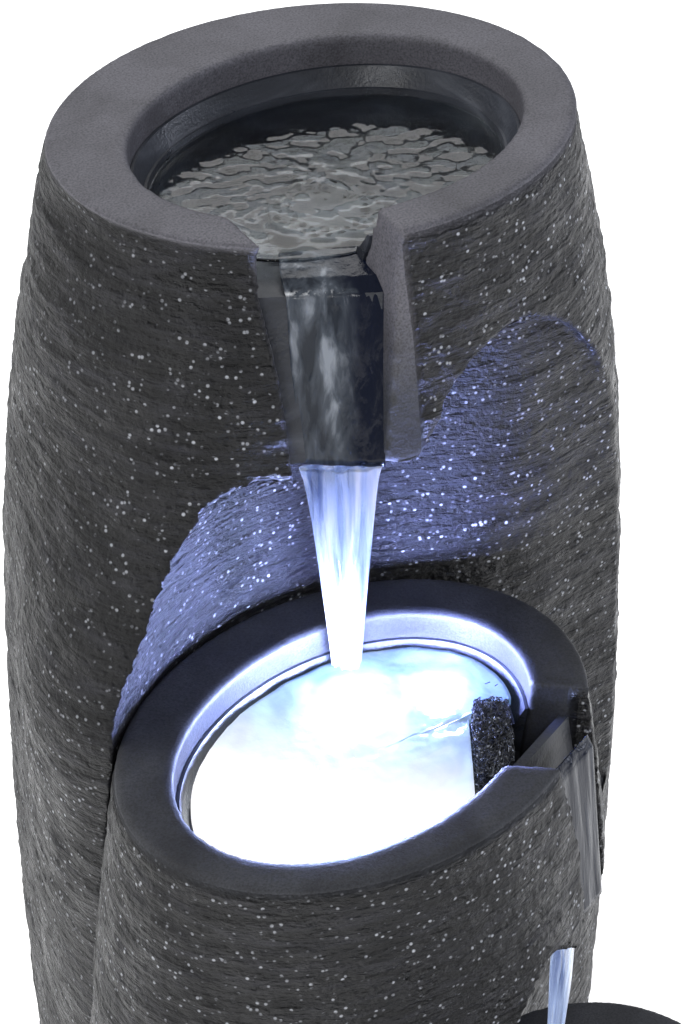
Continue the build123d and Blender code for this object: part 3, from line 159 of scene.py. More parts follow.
class Shader:
    """A principled material and a short way to add nodes to it."""

    def __init__(self, name):
        self.material = bpy.data.materials.new(name)
        self.material.use_nodes = True
        self.tree = self.material.node_tree
        self.surface = self.tree.nodes["Principled BSDF"]
        self.place = self.tree.nodes.new("ShaderNodeTexCoord").outputs["Object"]

    def set(self, **values):
        for name, value in values.items():
            self.surface.inputs[name.replace("_", " ")].default_value = value
        return self

    def link(self, output, socket):
        self.tree.links.new(output, self.surface.inputs[socket])

    def add(self, kind, **inputs):
        node = self.tree.nodes.new(kind)
        for name, value in inputs.items():
            socket = node.inputs[name.replace("_", " ")]
            if isinstance(value, bpy.types.NodeSocket):
                self.tree.links.new(value, socket)
            else:
                socket.default_value = value
        return node

    def noise(self, scale, detail=4.0, stretch=(1, 1, 1), distortion=0.0):
        mapped = self.add("ShaderNodeMapping", Vector=self.place, Scale=stretch)
        return self.add("ShaderNodeTexNoise", Vector=mapped.outputs[0], Scale=scale, Detail=detail,
                        Distortion=distortion).outputs["Fac"]

    def cells(self, scale):
        return self.add("ShaderNodeTexVoronoi", Vector=self.place, Scale=scale).outputs["Distance"]

    def ramp(self, value, *stops):
        node = self.add("ShaderNodeValToRGB", Fac=value)
        points = node.color_ramp.elements
        while len(points) < len(stops):
            points.new(0.5)
        for point, (position, colour) in zip(points, stops):
            point.position = position
            point.color = (*colour, 1) if len(colour) == 3 else colour
        return node.outputs["Color"]

    def range(self, value, low, high, start=0.0, end=1.0):
        node = self.add("ShaderNodeMapRange", Value=value)
        node.inputs["From Min"].default_value = low
        node.inputs["From Max"].default_value = high
        node.inputs["To Min"].default_value = start
        node.inputs["To Max"].default_value = end
        return node.outputs[0]

    def math(self, operation, a, b=0.0):
        node = self.tree.nodes.new("ShaderNodeMath")
        node.operation = operation
        for socket, value in zip(node.inputs, (a, b)):
            if isinstance(value, bpy.types.NodeSocket):
                self.tree.links.new(value, socket)
            else:
                socket.default_value = value
        return node.outputs[0]

    def mix(self, factor, a, b):
        node = self.tree.nodes.new("ShaderNodeMix")
        node.data_type = "RGBA"
        sockets = (node.inputs[0], node.inputs[6], node.inputs[7])
        for socket, value in zip(sockets, (factor, a, b)):
            if isinstance(value, bpy.types.NodeSocket):
                self.tree.links.new(value, socket)
            else:
                socket.default_value = (*value, 1) if isinstance(value, tuple) else value
        return node.outputs[2]

    def attribute(self, name):
        node = self.tree.nodes.new("ShaderNodeAttribute")
        node.attribute_name = name
        return node.outputs["Fac"]

    def bump(self, height, strength, distance, normal=None):
        node = self.add("ShaderNodeBump", Height=height, Strength=strength, Distance=distance)
        if normal is not None:
            self.tree.links.new(normal, node.inputs["Normal"])
        return node.outputs[0]


def stone_material(name, smooth_colour, rough_colour):
    """Wet cast stone: combed and grainy where the attribute says so, smoother on rims and slot walls. Its
    colour holds painted light: the smooth parts are lit above about 0.36 m and near black below it as painted
    shade, and pale painted glints go on the wet combed walls.
    """
    s = Shader(name)
    comb = s.attribute("comb")
    wet_and_painted_glint = s.attribute("wet_and_painted_glint")
    painted_top_light = s.attribute("painted_top_light")
    grain = s.noise(1500, 3)
    grit = s.noise(560, 5)
    blotch = s.noise(38, 6, distortion=0.6)
    lines = s.noise(58, 8, stretch=(1, 1, 6), distortion=0.25)
    fine_lines = s.noise(170, 6, stretch=(1, 1, 3.5), distortion=0.3)
    dark = tuple(c * 0.35 for c in rough_colour)
    light = tuple(c * 3.2 for c in rough_colour)
    rough_part = s.ramp(lines, (0.36, dark), (0.52, rough_colour), (0.7, light))
    smooth_dark = tuple(c * 0.7 for c in smooth_colour)
    smooth_light = tuple(c * 1.2 for c in smooth_colour)
    smooth_part = s.ramp(blotch, (0.3, smooth_dark), (0.55, smooth_colour), (0.8, smooth_light))
    # painted shade: the smooth stone below the top rim (lower rims, slot walls, bowl insides) is a darker copy
    # of the lit top-rim colour
    painted_shade_part = s.ramp(blotch, (0.3, (0.016, 0.017, 0.022)), (0.7, (0.05, 0.053, 0.064)))
    base = s.mix(comb, s.mix(painted_top_light, painted_shade_part, smooth_part), rough_part)
    speck = s.ramp(grain, (0.34, (0.6, 0.6, 0.6)), (0.5, (0.95, 0.95, 0.95)), (0.7, (1.25, 1.25, 1.25)))
    speckled = s.tree.nodes.new("ShaderNodeMix")
    speckled.data_type = "RGBA"
    speckled.blend_type = "MULTIPLY"
    speckled.clamp_result = False
    speckled.inputs[0].default_value = 1.0
    s.tree.links.new(base, speckled.inputs[6])
    s.tree.links.new(speck, speckled.inputs[7])
    # painted glints: pale spots mixed into the base colour on the wet combed walls
    painted_glint = s.range(s.cells(430), 0.3, 0.14)
    painted_glint = s.math("MULTIPLY", painted_glint, s.range(s.noise(130, 5, stretch=(1, 1, 3)), 0.47, 0.6))
    painted_glint = s.math("MULTIPLY", s.math("MULTIPLY", painted_glint, wet_and_painted_glint), comb)
    s.link(s.mix(painted_glint, speckled.outputs[2], (0.6, 0.62, 0.68)), "Base Color")
    damp = s.math("MULTIPLY", s.range(s.noise(70, 5), 0.35, 0.7), s.math("MULTIPLY", wet_and_painted_glint, comb))
    s.link(s.range(damp, 0.0, 1.0, 0.6, 0.22), "Roughness")
    first = s.bump(grain, 0.3, 0.0004)
    rugged = s.math("MULTIPLY", grit, s.range(comb, 0.0, 1.0, 0.12, 1.0))
    second = s.bump(rugged, 0.9, 0.0016, first)
    height = s.math("MULTIPLY", s.math("ADD", lines, fine_lines), comb)
    s.link(s.bump(height, 0.8, 0.003, second), "Normal")
    s.set(Specular_IOR_Level=0.5)
    return s.material


def lining_material():
    s = Shader("bowl_lining")
    streaks = s.noise(30, 7, stretch=(1, 1, 3), distortion=0.8)
    grit = s.noise(900, 3)
    s.link(s.ramp(streaks, (0.3, (0.012, 0.014, 0.020)), (0.55, (0.042, 0.047, 0.061)),
                  (0.8, (0.12, 0.13, 0.155))), "Base Color")
    s.link(s.range(s.noise(50, 4), 0.3, 0.7, 0.25, 0.55), "Roughness")
    s.link(s.bump(grit, 0.4, 0.0004, s.bump(streaks, 0.5, 0.001)), "Normal")
    return s.material


def plastic_material(name, colour, roughness=0.42):
    s = Shader(name)
    cloud = s.noise(120, 4)
    dark = tuple(c * 0.8 for c in colour)
    light = tuple(min(1, c * 1.25) for c in colour)
    s.link(s.ramp(cloud, (0.35, dark), (0.65, light)), "Base Color")
    s.link(s.range(s.noise(300, 3), 0.3, 0.7, roughness - 0.07, roughness + 0.1), "Roughness")
    s.link(s.bump(s.noise(1400, 2), 0.25, 0.0002), "Normal")
    return s.material


def metal_material(name, colour, roughness, stretch):
    s = Shader(name)
    brushed = s.noise(400, 4, stretch=stretch)
    dark = tuple(c * 0.8 for c in colour)
    s.link(s.ramp(brushed, (0.35, dark), (0.65, colour)), "Base Color")
    s.link(s.range(brushed, 0.3, 0.7, roughness - 0.08, roughness + 0.1), "Roughness")
    s.link(s.bump(brushed, 0.2, 0.0001), "Normal")
    return s.set(Metallic=1.0).material


def clear_material(name, colour, roughness, ior, transmission):
    s = Shader(name)
    ripple = s.noise(140, 4)
    pale = tuple(min(1, c * 1.08) for c in colour)
    s.link(s.ramp(ripple, (0.3, colour), (0.7, pale)), "Base Color")
    s.link(s.range(ripple, 0.3, 0.7, roughness, roughness + 0.05), "Roughness")
    s.link(s.bump(ripple, 0.15, 0.0004), "Normal")
    return s.set(IOR=ior, Transmission_Weight=transmission).material


def glow_material():
    """The lit middle pool: blown out over the lamp, pale blue towards the far and right sides."""
    s = Shader("lit_water")
    blue = s.attribute("edge")
    swirl = s.range(s.noise(55, 5, distortion=1.2), 0.35, 0.68)
    amount = s.math("MULTIPLY", blue, s.math("ADD", s.math("MULTIPLY", swirl, 0.5), 0.5))
    tint = s.ramp(amount, (0.05, (1.0, 1.0, 1.0)), (0.4, (0.62, 0.78, 0.98)), (0.8, (0.22, 0.42, 0.78)))
    s.link(s.ramp(swirl, (0.2, (0.03, 0.05, 0.08)), (0.8, (0.08, 0.1, 0.13))), "Base Color")
    s.link(tint, "Emission Color")
    s.link(s.range(amount, 0.0, 0.7, 1.05, 0.42), "Emission Strength")
    s.link(s.bump(s.noise(160, 4), 0.3, 0.001), "Normal")
    return s.set(Roughness=0.08, IOR=1.33).material


def stream_material(name, strength):
    """Falling water: clear, streaked along its length, catching the lamp's light."""
    s = Shader(name)
    streaks = s.noise(190, 5, stretch=(1, 1, 0.07), distortion=0.25)
    lit = s.attribute("lit")
    tint = s.ramp(streaks, (0.32, (0.16, 0.22, 0.42)), (0.5, (0.55, 0.66, 0.9)), (0.66, (1.0, 1.0, 1.0)))
    s.link(tint, "Base Color")
    s.link(tint, "Emission Color")
    s.link(s.math("MULTIPLY", s.math("MULTIPLY", lit, strength), s.range(streaks, 0.3, 0.65, 0.25, 1.3)),
           "Emission Strength")
    s.link(s.range(streaks, 0.3, 0.7, 0.03, 0.16), "Roughness")
    s.link(s.bump(streaks, 0.6, 0.001), "Normal")
    return s.set(IOR=1.33, Transmission_Weight=0.7).material


def film_material():
    """The thin dark film on the chutes, with painted light in its colour: pale lit streaks where the lit
    attribute is high, painted shadow where it is low, and a white painted highlight where it is over 1.
    """
    s = Shader("chute_film")
    streaks = s.noise(230, 5, stretch=(1, 1, 0.09), distortion=0.3)
    shade = s.attribute("lit")
    pale = s.ramp(streaks, (0.36, (0.030, 0.036, 0.048)), (0.55, (0.09, 0.105, 0.13)),
                  (0.7, (0.32, 0.35, 0.4)))
    film = s.mix(shade, (0.006, 0.009, 0.022), pale)
    # painted highlight: white on the top chute's crest, where the lit attribute goes over 1
    painted_crest_highlight = s.math("MULTIPLY", s.range(shade, 1.0, 2.0), s.range(s.noise(420, 3), 0.44, 0.56))
    s.link(s.mix(painted_crest_highlight, film, (0.95, 0.97, 1.0)), "Base Color")
    s.link(s.range(streaks, 0.3, 0.7, 0.06, 0.22), "Roughness")
    s.link(s.bump(streaks, 0.7, 0.001), "Normal")
    return s.set(IOR=1.33).material


def foam_material():
    s = Shader("open_cell_foam")
    s.link(s.ramp(s.noise(700, 3), (0.4, (0.006, 0.007, 0.010)), (0.62, (0.05, 0.055, 0.07)),
                  (0.74, (0.75, 0.8, 0.9))), "Base Color")
    s.link(s.range(s.noise(900, 2), 0.4, 0.6, 0.12, 0.5), "Roughness")
    return s.set(Specular_IOR_Level=0.7).material


def lamp_material():
    s = Shader("lamp_lens")
    s.link(s.ramp(s.noise(400, 3), (0.3, (0.8, 0.88, 1.0)), (0.7, (1.0, 1.0, 1.0))), "Emission Color")
    return s.set(Emission_Strength=4.0, Roughness=0.3, Transmission_Weight=0.3).material


STONE = stone_material("wet_cast_stone", (0.125, 0.122, 0.142), (0.0065, 0.0065, 0.0085))
LINING = lining_material()
BLACK = plastic_material("black_plastic", (0.018, 0.018, 0.020))
PALE = plastic_material("pale_plastic", (0.55, 0.55, 0.54))
RUBBER = plastic_material("black_rubber", (0.014, 0.014, 0.014), 0.75)
STEEL = metal_material("brushed_steel", (0.62, 0.62, 0.63), 0.3, (1, 1, 12))
COPPER = metal_material("copper_winding", (0.75, 0.33, 0.16), 0.25, (12, 1, 1))
IRON = metal_material("laminated_iron", (0.28, 0.28, 0.29), 0.5, (1, 14, 1))
MAGNET = plastic_material("ferrite_magnet", (0.05, 0.05, 0.055), 0.5)
CERAMIC = plastic_material("ceramic_shaft", (0.8, 0.8, 0.77), 0.2)
HOSE = clear_material("clear_hose", (0.80, 0.86, 0.86), 0.12, 1.45, 0.85)
BOARD = plastic_material("lamp_board", (0.75, 0.76, 0.74), 0.4)
WATER = clear_material("clear_water", (0.86, 0.92, 1.0), 0.01, 1.33, 1.0)
GLOW = glow_material()
STREAM = stream_material("lit_stream", 0.75)
FILM = film_material()
FOAM = foam_material()
LAMP = lamp_material()

FINISH = (
    (LINING, "top_basin middle_basin lower_basin"),
    (BLACK, "diffuser_cap bulkhead_fitting bulkhead_nut led_housing led_nut drain_grate pump_body"),
    (BLACK, "pump_back_cover pump_cover intake_grille outlet_elbow wall_fitting wall_fitting_nut"),
    (BLACK, "cable_gland gland_nut column_base_cover middle_base_cover"),
    (RUBBER, "led_gasket pump_o_ring suction_cups rubber_feet lead_grommet pump_lead led_lead shaft_bushes"),
    (BOARD, "led_board"), (LAMP, "led_chips led_lens"), (HOSE, "riser_hose pump_hose"),
    (STEEL, "hose_clamps base_screws"), (COPPER, "stator_coil"), (IRON, "stator_core"),
    (MAGNET, "rotor_magnet"), (CERAMIC, "impeller_shaft"), (PALE, "impeller flow_dial"),
    (FOAM, "foam_block"),
)
for material, names in FINISH:
    for node in names.split():
        nodes[node].data.materials.clear()
        nodes[node].data.materials.append(material)


# ---- the combed stone shells ----

def fine_mesh(piece, voxel):
    """Gives a piece small, even faces."""
    remesh = piece.modifiers.new("fine", "REMESH")
    remesh.mode = "VOXEL"
    remesh.voxel_size = voxel * 1.0
    bpy.context.view_layer.update()
    evaluated = piece.evaluated_get(bpy.context.evaluated_depsgraph_get())
    mesh = bpy.data.meshes.new_from_object(evaluated)
    piece.modifiers.clear()
    piece.data = mesh
    mesh.shade_smooth()
    return mesh


def stone_copy(node, body, centre, rim, voxel, round_over, front, smooth_places):
    """A finely meshed copy of a stone shell, with rounded rims and real combing and grain.

    front is a plan direction, and the distance from the column's axis past which every wall is combed.
    """
    piece = bpy.data.objects.new(node + "_stone", nodes[node].data.copy())
    bpy.context.scene.collection.objects.link(piece)
    mesh = fine_mesh(piece, voxel)

    points = coordinates(mesh)
    pairs = edge_pairs(mesh)
    near_rim = np.clip(1 - np.abs(points[:, 2] - rim) / (round_over * MM), 0, 1)
    points = relax(points, pairs, 0.25 + 0.45 * near_rim, 3)
    set_coordinates(mesh, points)

    facing = normals(mesh)
    outwards = points[:, :2] - np.array([centre.x, centre.y])
    outwards /= np.linalg.norm(outwards, axis=1)[:, None]
    side = (facing[:, :2] * outwards).sum(1)
    plan = points[:, :2] - np.array([AXIS.x, AXIS.y])
    outside = np.clip((side - 0.3) / 0.25, 0, 1)
    ahead = plan @ np.array(heading(front[0])[0]) - front[1] * MM
    outside = np.maximum(outside, np.clip(ahead / (2 * MM), 0, 1))
    comb = outside * np.clip((0.86 - np.abs(facing[:, 2])) / 0.2, 0, 1)
    comb *= np.clip((rim - points[:, 2] - 1.5 * MM) / (3 * MM), 0, 1)
    for smooth_place in smooth_places:
        comb *= 1 - smooth_place(plan / MM, points[:, 2] / MM)
    wandering = points.copy()
    wandering[:, 2] += 0.002 * lattice_noise(points, 18, 3)
    rows = lattice_noise(wandering * np.array([1, 1, 6.0]), 48, 4)
    fine_rows = lattice_noise(wandering * np.array([1, 1, 3.6]), 125, 5)
    patches = lattice_noise(points, 30, 6)
    grain = lattice_noise(points, 480, 8)
    depth = 0.55 * rows + 0.32 * fine_rows + 0.28 * grain
    depth = comb * (depth - 0.35) + (1 - comb) * (0.03 * grain + 0.05 * patches - 0.05)
    set_coordinates(mesh, points + facing * (depth * MM)[:, None])
    add_attribute(mesh, "comb", comb)
    # painted light by height: 1 on the lit top rim, 0 on the shaded smooth parts below it
    add_attribute(mesh, "painted_top_light", np.clip((points[:, 2] - 0.36) / 0.03, 0, 1))
    angle = np.arctan2(plan[:, 1], plan[:, 0])
    # where the stone is wet: lowers its roughness, and places the painted glints in its colour
    add_attribute(mesh, "wet_and_painted_glint", np.clip(0.62 + 0.38 * np.cos(angle + pi / 2.6) + 0.35 * patches, 0, 1))
    mesh.materials.clear()
    mesh.materials.append(STONE)
    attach(piece, body)
    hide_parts(node)


def ramp_up(value, start, width):
    """0 up to start, and then 1 after width."""
    return np.clip((value - start) / width, 0, 1)


def in_top_slot(plan, height):
    across = ramp_up(plan[:, 0], -51, 2) * ramp_up(-plan[:, 0], 8.5, 2)
    inner = ramp_up(-plan[:, 1], 26, 2) * ramp_up(height, 338, 3)
    face = np.clip((75 + 0.17 * (414 - height) + plan[:, 1]) / 2, 0, 1)
    return across * inner * face


def in_mid_slot(plan, height):
    away = plan - np.array(MID_CENTRE)
    along, side = heading(MID_SLOT)
    ahead = away @ np.array(along)
    across = away @ np.array(side)
    inner = ramp_up(across, -14, 2) * ramp_up(-across, -28, 2)
    return inner * ramp_up(ahead, 20, 3) * ramp_up(-ahead, -66, 3) * ramp_up(height, 196, 3)


def in_bowl(shape, grow):
    """How far places are inside a bowl's wall, as a function of their plan and height."""
    def inside(plan, height):
        along, side = heading(shape["yaw"])
        away = plan - np.array(shape["centre"])
        x = away @ np.array(along) / (shape["axes"][0] + grow)
        y = away @ np.array(side) / (shape["axes"][1] + grow)
        depth = height - shape["level"] / MM
        return np.clip((1.03 - (x * x + y * y)) / 0.06, 0, 1) * ramp_up(depth, -45, 2)
    return inside


stone_copy("column_shell", "fountain", at(0, 0), TOP_RIM, 1.3 * MM, 4, (COLUMN_FRONT, 25),
           (in_top_slot, in_bowl(TOP_POOL, 8)))
stone_copy("middle_vessel", "fountain", at(*MID_CENTRE), MID_RIM, 1.2 * MM, 3, (MID_FRONT, 86),
           (in_mid_slot, in_bowl(MID_POOL, 7)))
stone_copy("lower_vessel", "fountain", at(*LOW_CENTRE), LOW_RIM, 1.25 * MM, 3, (COLUMN_FRONT, 300), ())
stone_copy("rear_panel", "rear_panel", at(0, 0), TOP_RIM, 1.0 * MM, 2, (COLUMN_FRONT, 300), ())


# ---- water ----

def pool_point(shape, ring, angle):
    """A plan position in a pool: ring is 0 at its centre and 1 at its edge."""
    along, side = heading(shape["yaw"])
    x = shape["axes"][0] * ring * cos(angle)
    y = shape["axes"][1] * ring * sin(angle)
    return (shape["centre"][0] + x * along[0] + y * side[0], shape["centre"][1] + x * along[1] + y * side[1])


def short_of_foam(x, y):
    """Pulls a point of the middle pool back to the foam's front face."""
    ahead, side = heading(FOAM_ANGLE)
    centre = MID_POOL["centre"]
    reach = (x - centre[0]) * ahead[0] + (y - centre[1]) * ahead[1]
    across = (x - centre[0]) * side[0] + (y - centre[1]) * side[1]
    if reach <= FOAM_FRONT or abs(across) > FOAM_HALF + 1:
        return x, y
    pull = FOAM_FRONT / reach
    return centre[0] + (x - centre[0]) * pull, centre[1] + (y - centre[1]) * pull


def pool(name, shape, material, height_at, edge_at=None, thickness=0.6, limit=None):
    """A closed, thin body of water with a rippled top. limit moves points of its outline."""
    rings, spokes = 46, 160
    centre = shape["centre"]
    top, bottom, edge = [], [], []
    for ring in range(rings + 1):
        for spoke in range(spokes):
            share = max(ring / rings, 1e-4)
            x, y = pool_point(shape, share, 2 * pi * spoke / spokes)
            if limit:
                edge_x, edge_y = limit(*pool_point(shape, 1.0, 2 * pi * spoke / spokes))
                x = centre[0] + (edge_x - centre[0]) * share
                y = centre[1] + (edge_y - centre[1]) * share
            lift = height_at(x, y) * MM
            top.append(at(x, y, shape["level"] + lift))
            bottom.append(at(x, y, shape["level"] - thickness * MM))
            edge.append(edge_at(x, y) if edge_at else 0.0)
    faces = []
    under = len(top)
    for ring in range(rings):
        for spoke in range(spokes):
            a, b = ring * spokes + spoke, ring * spokes + (spoke + 1) % spokes
            faces.append((a, a + spokes, b + spokes, b))
            faces.append((under + b, under + b + spokes, under + a + spokes, under + a))
    last = rings * spokes
    for spoke in range(spokes):
        a, b = last + spoke, last + (spoke + 1) % spokes
        faces.append((a, under + a, under + b, b))
    piece = new_object(name, top + bottom, faces)
    add_attribute(piece.data, "edge", edge * 2)
    piece.data.materials.append(material)
    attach(piece, "fountain")


def top_ripple(x, y):
    reach = ((x - 1.5) ** 2 + (y + 5.3) ** 2) ** 0.5
    dome = 1.1 * np.exp(-(reach / 13) ** 2)
    rough = noise.noise(Vector((x, y, 0)) * 0.17) * 0.45 + noise.noise(Vector((x, y, 9)) * 0.4) * 0.22
    return float(dome + rough * (0.35 + 0.65 * np.exp(-(reach / 30) ** 2)))


def mid_ripple(x, y):
    reach = ((x + 31.4) ** 2 + (y + 72) ** 2) ** 0.5
    fine = noise.noise(Vector((x, y, 5)) * 0.33) * 0.35 * (reach < 90)
    return noise.noise(Vector((x, y, 3)) * 0.12) * 0.8 + fine


def mid_edge(x, y):
    """How blue the lit pool is: most at the far right, none over the lamp and under the fall."""
    right = (x + 52.4) / 58 * 0.75 + (y + 107.6) / 44 * 0.5
    return float(np.clip(right * 1.25 + 0.3, 0, 1))


def low_ripple(x, y):
    reach = (x ** 2 + (y + 146) ** 2) ** 0.5
    return float(noise.noise(Vector((x, y, 3)) * 0.16) * 0.6 + 0.5 * np.cos(reach * 0.8) * np.exp(-reach / 30))


pool("top_pool", TOP_POOL, WATER, top_ripple)
pool("middle_pool", MID_POOL, GLOW, mid_ripple, mid_edge, 3.0, short_of_foam)
pool("low_pool", LOW_POOL, WATER, low_ripple)


def along(points, t):
    """A point on a chain of points, from 0 at its start to 1 at its end."""
    place = t * (len(points) - 1)
    first = min(int(place), len(points) - 2)
    return points[first].lerp(points[first + 1], place - first)


def sheet_of_water(name, left, right, material, thickness, lit, waves):
    """Water between two edge curves, given as lists of points from top to bottom.

    lit(t, u) is how lit a place is. waves holds the number of waves across and down, and their height.
    """
    rows, columns = 70, 34
    front, back, glow = [], [], []
    for row in range(rows + 1):
        t = row / rows
        a, b = along(left, t), along(right, t)
        across = (b - a).normalized()
        out = across.cross(Vector((0, 0, 1))).normalized()
        for column in range(columns + 1):
            u = column / columns
            point = a.lerp(b, u)
            bulge = (1 - (2 * u - 1) ** 2) ** 0.5
            broad = noise.noise(Vector((u * waves[0], t * waves[1], 2.0)))
            narrow = noise.noise(Vector((u * waves[0] * 2.7, t * waves[1] * 1.6, 5.0)))
            wave = broad * waves[2] * MM + narrow * waves[2] * 0.5 * MM
            half = thickness * MM * (0.25 + 0.75 * bulge)
            front.append(point + out * (half + wave))
            back.append(point - out * (half * 0.6 - wave * 0.3))
            glow.append(lit(t, u))
    faces = []
    under = len(front)
    width = columns + 1
    for row in range(rows):
        for column in range(columns):
            a = row * width + column
            faces.append((a, a + width, a + width + 1, a + 1))
            faces.append((under + a + 1, under + a + width + 1, under + a + width, under + a))
    for row in range(rows):
        for column in (0, columns):
            a = row * width + column
            quad = (a, under + a, under + a + width, a + width)
            faces.append(quad if column == 0 else quad[::-1])
    for row in (0, rows):
        for column in range(columns):
            a = row * width + column
            quad = (a, a + 1, under + a + 1, under + a)
            faces.append(quad if row == 0 else quad[::-1])
    piece = new_object(name, front + back, faces)
    add_attribute(piece.data, "lit", glow * 2)
    piece.data.materials.append(material)
    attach(piece, "fountain")


def fall(start, speed, drop):
    """Points of a free fall from a lip, carried along by its speed in plan."""
    steps = 8
    points = []
    for step in range(steps + 1):
        t = step / steps
        points.append(start + speed * t + Vector((0, 0, -drop * t ** 1.35)))
    return points


# the top chute's film, and the fall into the middle bowl
TOP_SILL = TOP_POOL["level"] - 1.6 * MM
TOP_CREST = TOP_RIM - 22.6 * MM
film_left = [at(-33.0, -34.0, TOP_POOL["level"]), at(-38.0, -43.5, TOP_SILL), at(-39.5, -49.0, TOP_CREST),
             at(-44.0, -61.5, TOP_LIP)]
film_right = [at(-11.5, -43.0, TOP_POOL["level"]), at(-12.5, -57.0, TOP_SILL), at(-13.0, -62.0, TOP_CREST),
              at(-22.4, -76.5, TOP_LIP)]


def top_film_shade(t, u):
    """Painted light on the top film: pale lit streaks on the left, painted shadow on the right, and a broken
    white painted highlight at the crest.
    """
    painted_crest_line = np.exp(-(((t - 0.60) / 0.035) ** 2)) * (u < 0.72)
    return float(np.clip((0.72 - u) / 0.25, 0, 1) + painted_crest_line)


sheet_of_water("top_chute_film", film_left, film_right, FILM, 0.35, top_film_shade, (9, 3, 0.5))
drop = TOP_LIP - MID_POOL["level"]
left_fall = fall(at(-44.5, -63.5, TOP_LIP), Vector((9.5 * MM, -3 * MM, 0)), drop)
right_fall = fall(at(-23.0, -75.5, TOP_LIP), Vector((-5 * MM, 3 * MM, 0)), drop)
sheet_of_water("top_fall", left_fall, right_fall, STREAM, 2.6, lambda t, u: 0.04 + 2.2 * t ** 2.6,
               (7, 2.2, 1.6))

# the middle chute's film, and the fall into the low bowl
MID_CREST, MID_BROW = 0.2618, 0.2580
film_left = [at(-11.5, -147.0, MID_CREST), at(-10.5, -149.0, MID_BROW), at(-8.5, -155.0, MID_LIP)]
film_right = [at(13.5, -135.5, MID_CREST), at(14.5, -137.0, MID_BROW), at(17.0, -143.0, MID_LIP)]
sheet_of_water("middle_chute_film", film_left, film_right, FILM, 0.3, lambda t, u: 0.12, (8, 3, 0.4))
drop = MID_LIP - LOW_POOL["level"]
left_fall = fall(at(-11.0, -156.0, MID_LIP), Vector((3 * MM, 4 * MM, 0)), drop)
right_fall = fall(at(1.5, -150.5, MID_LIP), Vector((-4 * MM, 0, 0)), drop)
sheet_of_water("middle_fall", left_fall, right_fall, STREAM, 1.6, lambda t, u: 0.35, (5, 2.0, 1.0))


# ---- the foam block: a net of struts ----

def strut(start, end, u, v, vertices, faces):
    """A three-sided strut; u and v are unit vectors across it."""
    first = len(vertices)
    for place in (start, end):
        for turn in (0, 2 * pi / 3, 4 * pi / 3):
            vertices.append(place + STRUT_RADIUS * (u * cos(turn) + v * sin(turn)))
    for k in range(3):
        n = (k + 1) % 3
        faces.append((first + k, first + n, first + 3 + n, first + 3 + k))


def foam_net():
    """Joins the points of a jittered lattice inside the CAD block."""
    solid = nodes["foam_block"].data
    corners = [vertex.co.copy() for vertex in solid.vertices]
    surface = BVHTree.FromPolygons(corners, [tuple(face.vertices) for face in solid.polygons])
    low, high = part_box("foam_block")
    counts = [int((high[i] - low[i]) / FOAM_CELL) + 1 for i in range(3)]
    grid = np.stack(np.meshgrid(*[np.arange(c) for c in counts], indexing="ij"), -1)
    places = np.array(low) + grid * FOAM_CELL + rng.uniform(-0.42, 0.42, grid.shape) * FOAM_CELL
    inside = np.zeros(grid.shape[:3], bool)
    for cell in np.ndindex(*inside.shape):
        place = Vector(places[cell])
        nearest, normal, _, _ = surface.find_nearest(place)
        inside[cell] = (place - nearest).dot(normal) < 0
    vertices, faces = [], []
    for shift in np.array(((1, 0, 0), (1, 1, 0), (0, 1, 0), (0, 1, 1), (0, 0, 1))):
        last = np.array(counts) - shift
        a = grid[:last[0], :last[1], :last[2]].reshape(-1, 3)
        b = a + shift
        keep = inside[tuple(a.T)] & inside[tuple(b.T)] & (rng.random(len(a)) < 0.8)
        starts, ends = places[tuple(a[keep].T)], places[tuple(b[keep].T)]
        line = ends - starts
        line /= np.linalg.norm(line, axis=1)[:, None]
        helper = np.where(np.abs(line[:, 2:3]) > 0.8, [[1.0, 0, 0]], [[0, 0, 1.0]])
        u = np.cross(line, helper)
        u /= np.linalg.norm(u, axis=1)[:, None]
        v = np.cross(line, u)
        for i in range(len(starts)):
            strut(starts[i], ends[i], u[i], v[i], vertices, faces)
    piece = new_object("foam_net", vertices, faces, smooth=False)
    piece.data.materials.append(FOAM)
    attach(piece, "foam_block")
    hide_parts("foam_block")


FOAM_CELL, STRUT_RADIUS = 1.25 * MM, 0.17 * MM
foam_net()


# ---- floor, light and camera ----

def stage_floor():
    size = 6.0
    floor = new_object("floor", [(-size, -size, 0), (size, -size, 0), (size, size, 0), (-size, size, 0)],
                       [(0, 1, 2, 3)], smooth=False)
    s = Shader("pale_floor")
    pale = s.ramp(s.noise(3, 2), (0.3, (0.93, 0.93, 0.93)), (0.7, (0.97, 0.97, 0.97)))
    s.link(pale, "Base Color")
    s.link(pale, "Emission Color")
    s.set(Roughness=0.9, Emission_Strength=0.85)
    floor.data.materials.append(s.material)


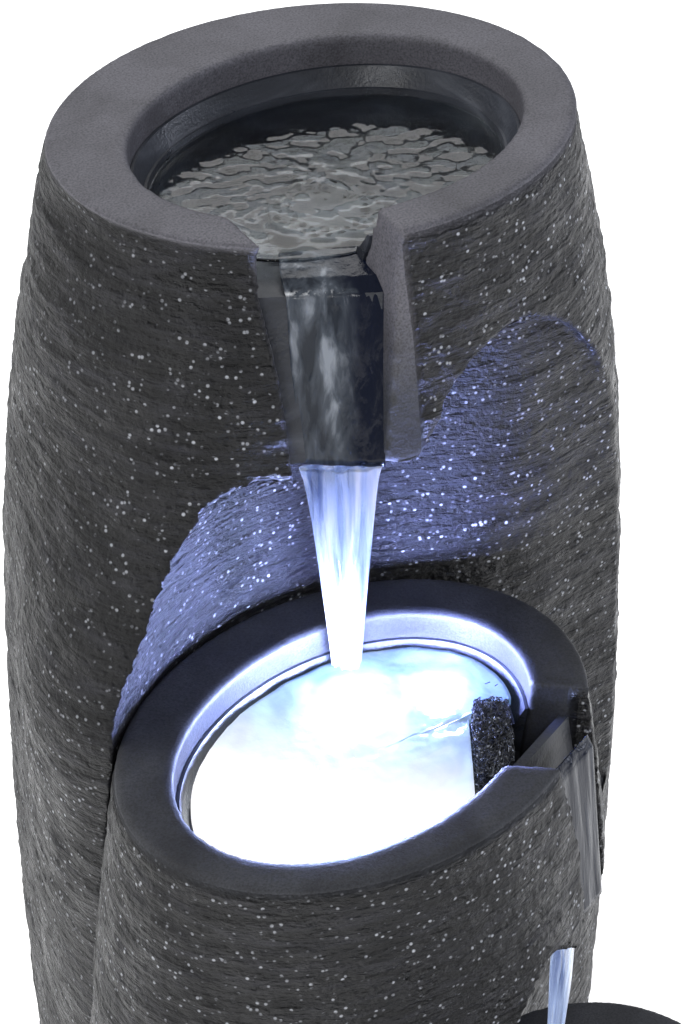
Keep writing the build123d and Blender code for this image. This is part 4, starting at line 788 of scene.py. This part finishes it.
def place_light(name, kind, place, power, colour):
    light = bpy.data.lights.new(name, kind)
    light.energy = power
    light.color = colour
    lamp = bpy.data.objects.new(name, light)
    lamp.location = place
    bpy.context.scene.collection.objects.link(lamp)
    return lamp


def area_light(name, place, target, size, power, colour=(1, 1, 1)):
    lamp = place_light(name, "AREA", place, power, colour)
    lamp.data.shape = "RECTANGLE"
    lamp.data.size, lamp.data.size_y = size
    lamp.rotation_euler = (Vector(target) - Vector(place)).to_track_quat("-Z", "Y").to_euler()


def glow_light(name, x, y, power, colour):
    """A small lamp just over the middle pool."""
    lamp = place_light(name, "POINT", at(x, y, MID_POOL["level"] + 7 * MM), power, colour)
    lamp.data.shadow_soft_size = 0.006


stage_floor()
world = bpy.data.worlds.new("studio")
bpy.context.scene.world = world
world.use_nodes = True
world.node_tree.nodes["Background"].inputs["Color"].default_value = (0.95, 0.97, 1.0, 1)
world.node_tree.nodes["Background"].inputs["Strength"].default_value = 0.3
area_light("window", (-0.9, 0.9, 1.5), (0, 0, 0.25), (1.4, 1.0), 12)
area_light("sky_panel", (0.60, 1.02, 1.58), (0.02, 0.08, 0.4), (1.3, 0.8), 9)
area_light("front_soft", (-1.1, -1.3, 1.3), (0, -0.1, 0.2), (0.5, 0.8), 9)
area_light("right_strip", (1.3, -0.5, 0.8), (0, 0, 0.25), (0.3, 1.0), 6, (0.8, 0.85, 1.0))
glow_light("pool_glow", -40, -88, 0.9, (0.42, 0.52, 1.0))
glow_light("pool_glow_right", -12, -94, 0.5, (0.34, 0.40, 1.0))

CAMERA_PLACE = at(-458.1, -751.5, 0.9568)
CAMERA_DOWN, CAMERA_TURN = 38.26, -32
camera_data = bpy.data.cameras.new("camera")
camera_data.sensor_fit = "VERTICAL"
camera_data.sensor_width = camera_data.sensor_height = 36.0
camera_data.lens = 120.0
camera = bpy.data.objects.new("camera", camera_data)
camera.location = CAMERA_PLACE
camera.rotation_euler = (radians(90 - CAMERA_DOWN), 0, radians(CAMERA_TURN))
bpy.context.scene.collection.objects.link(camera)
bpy.context.scene.camera = camera
bpy.context.scene.view_settings.view_transform = "Standard"
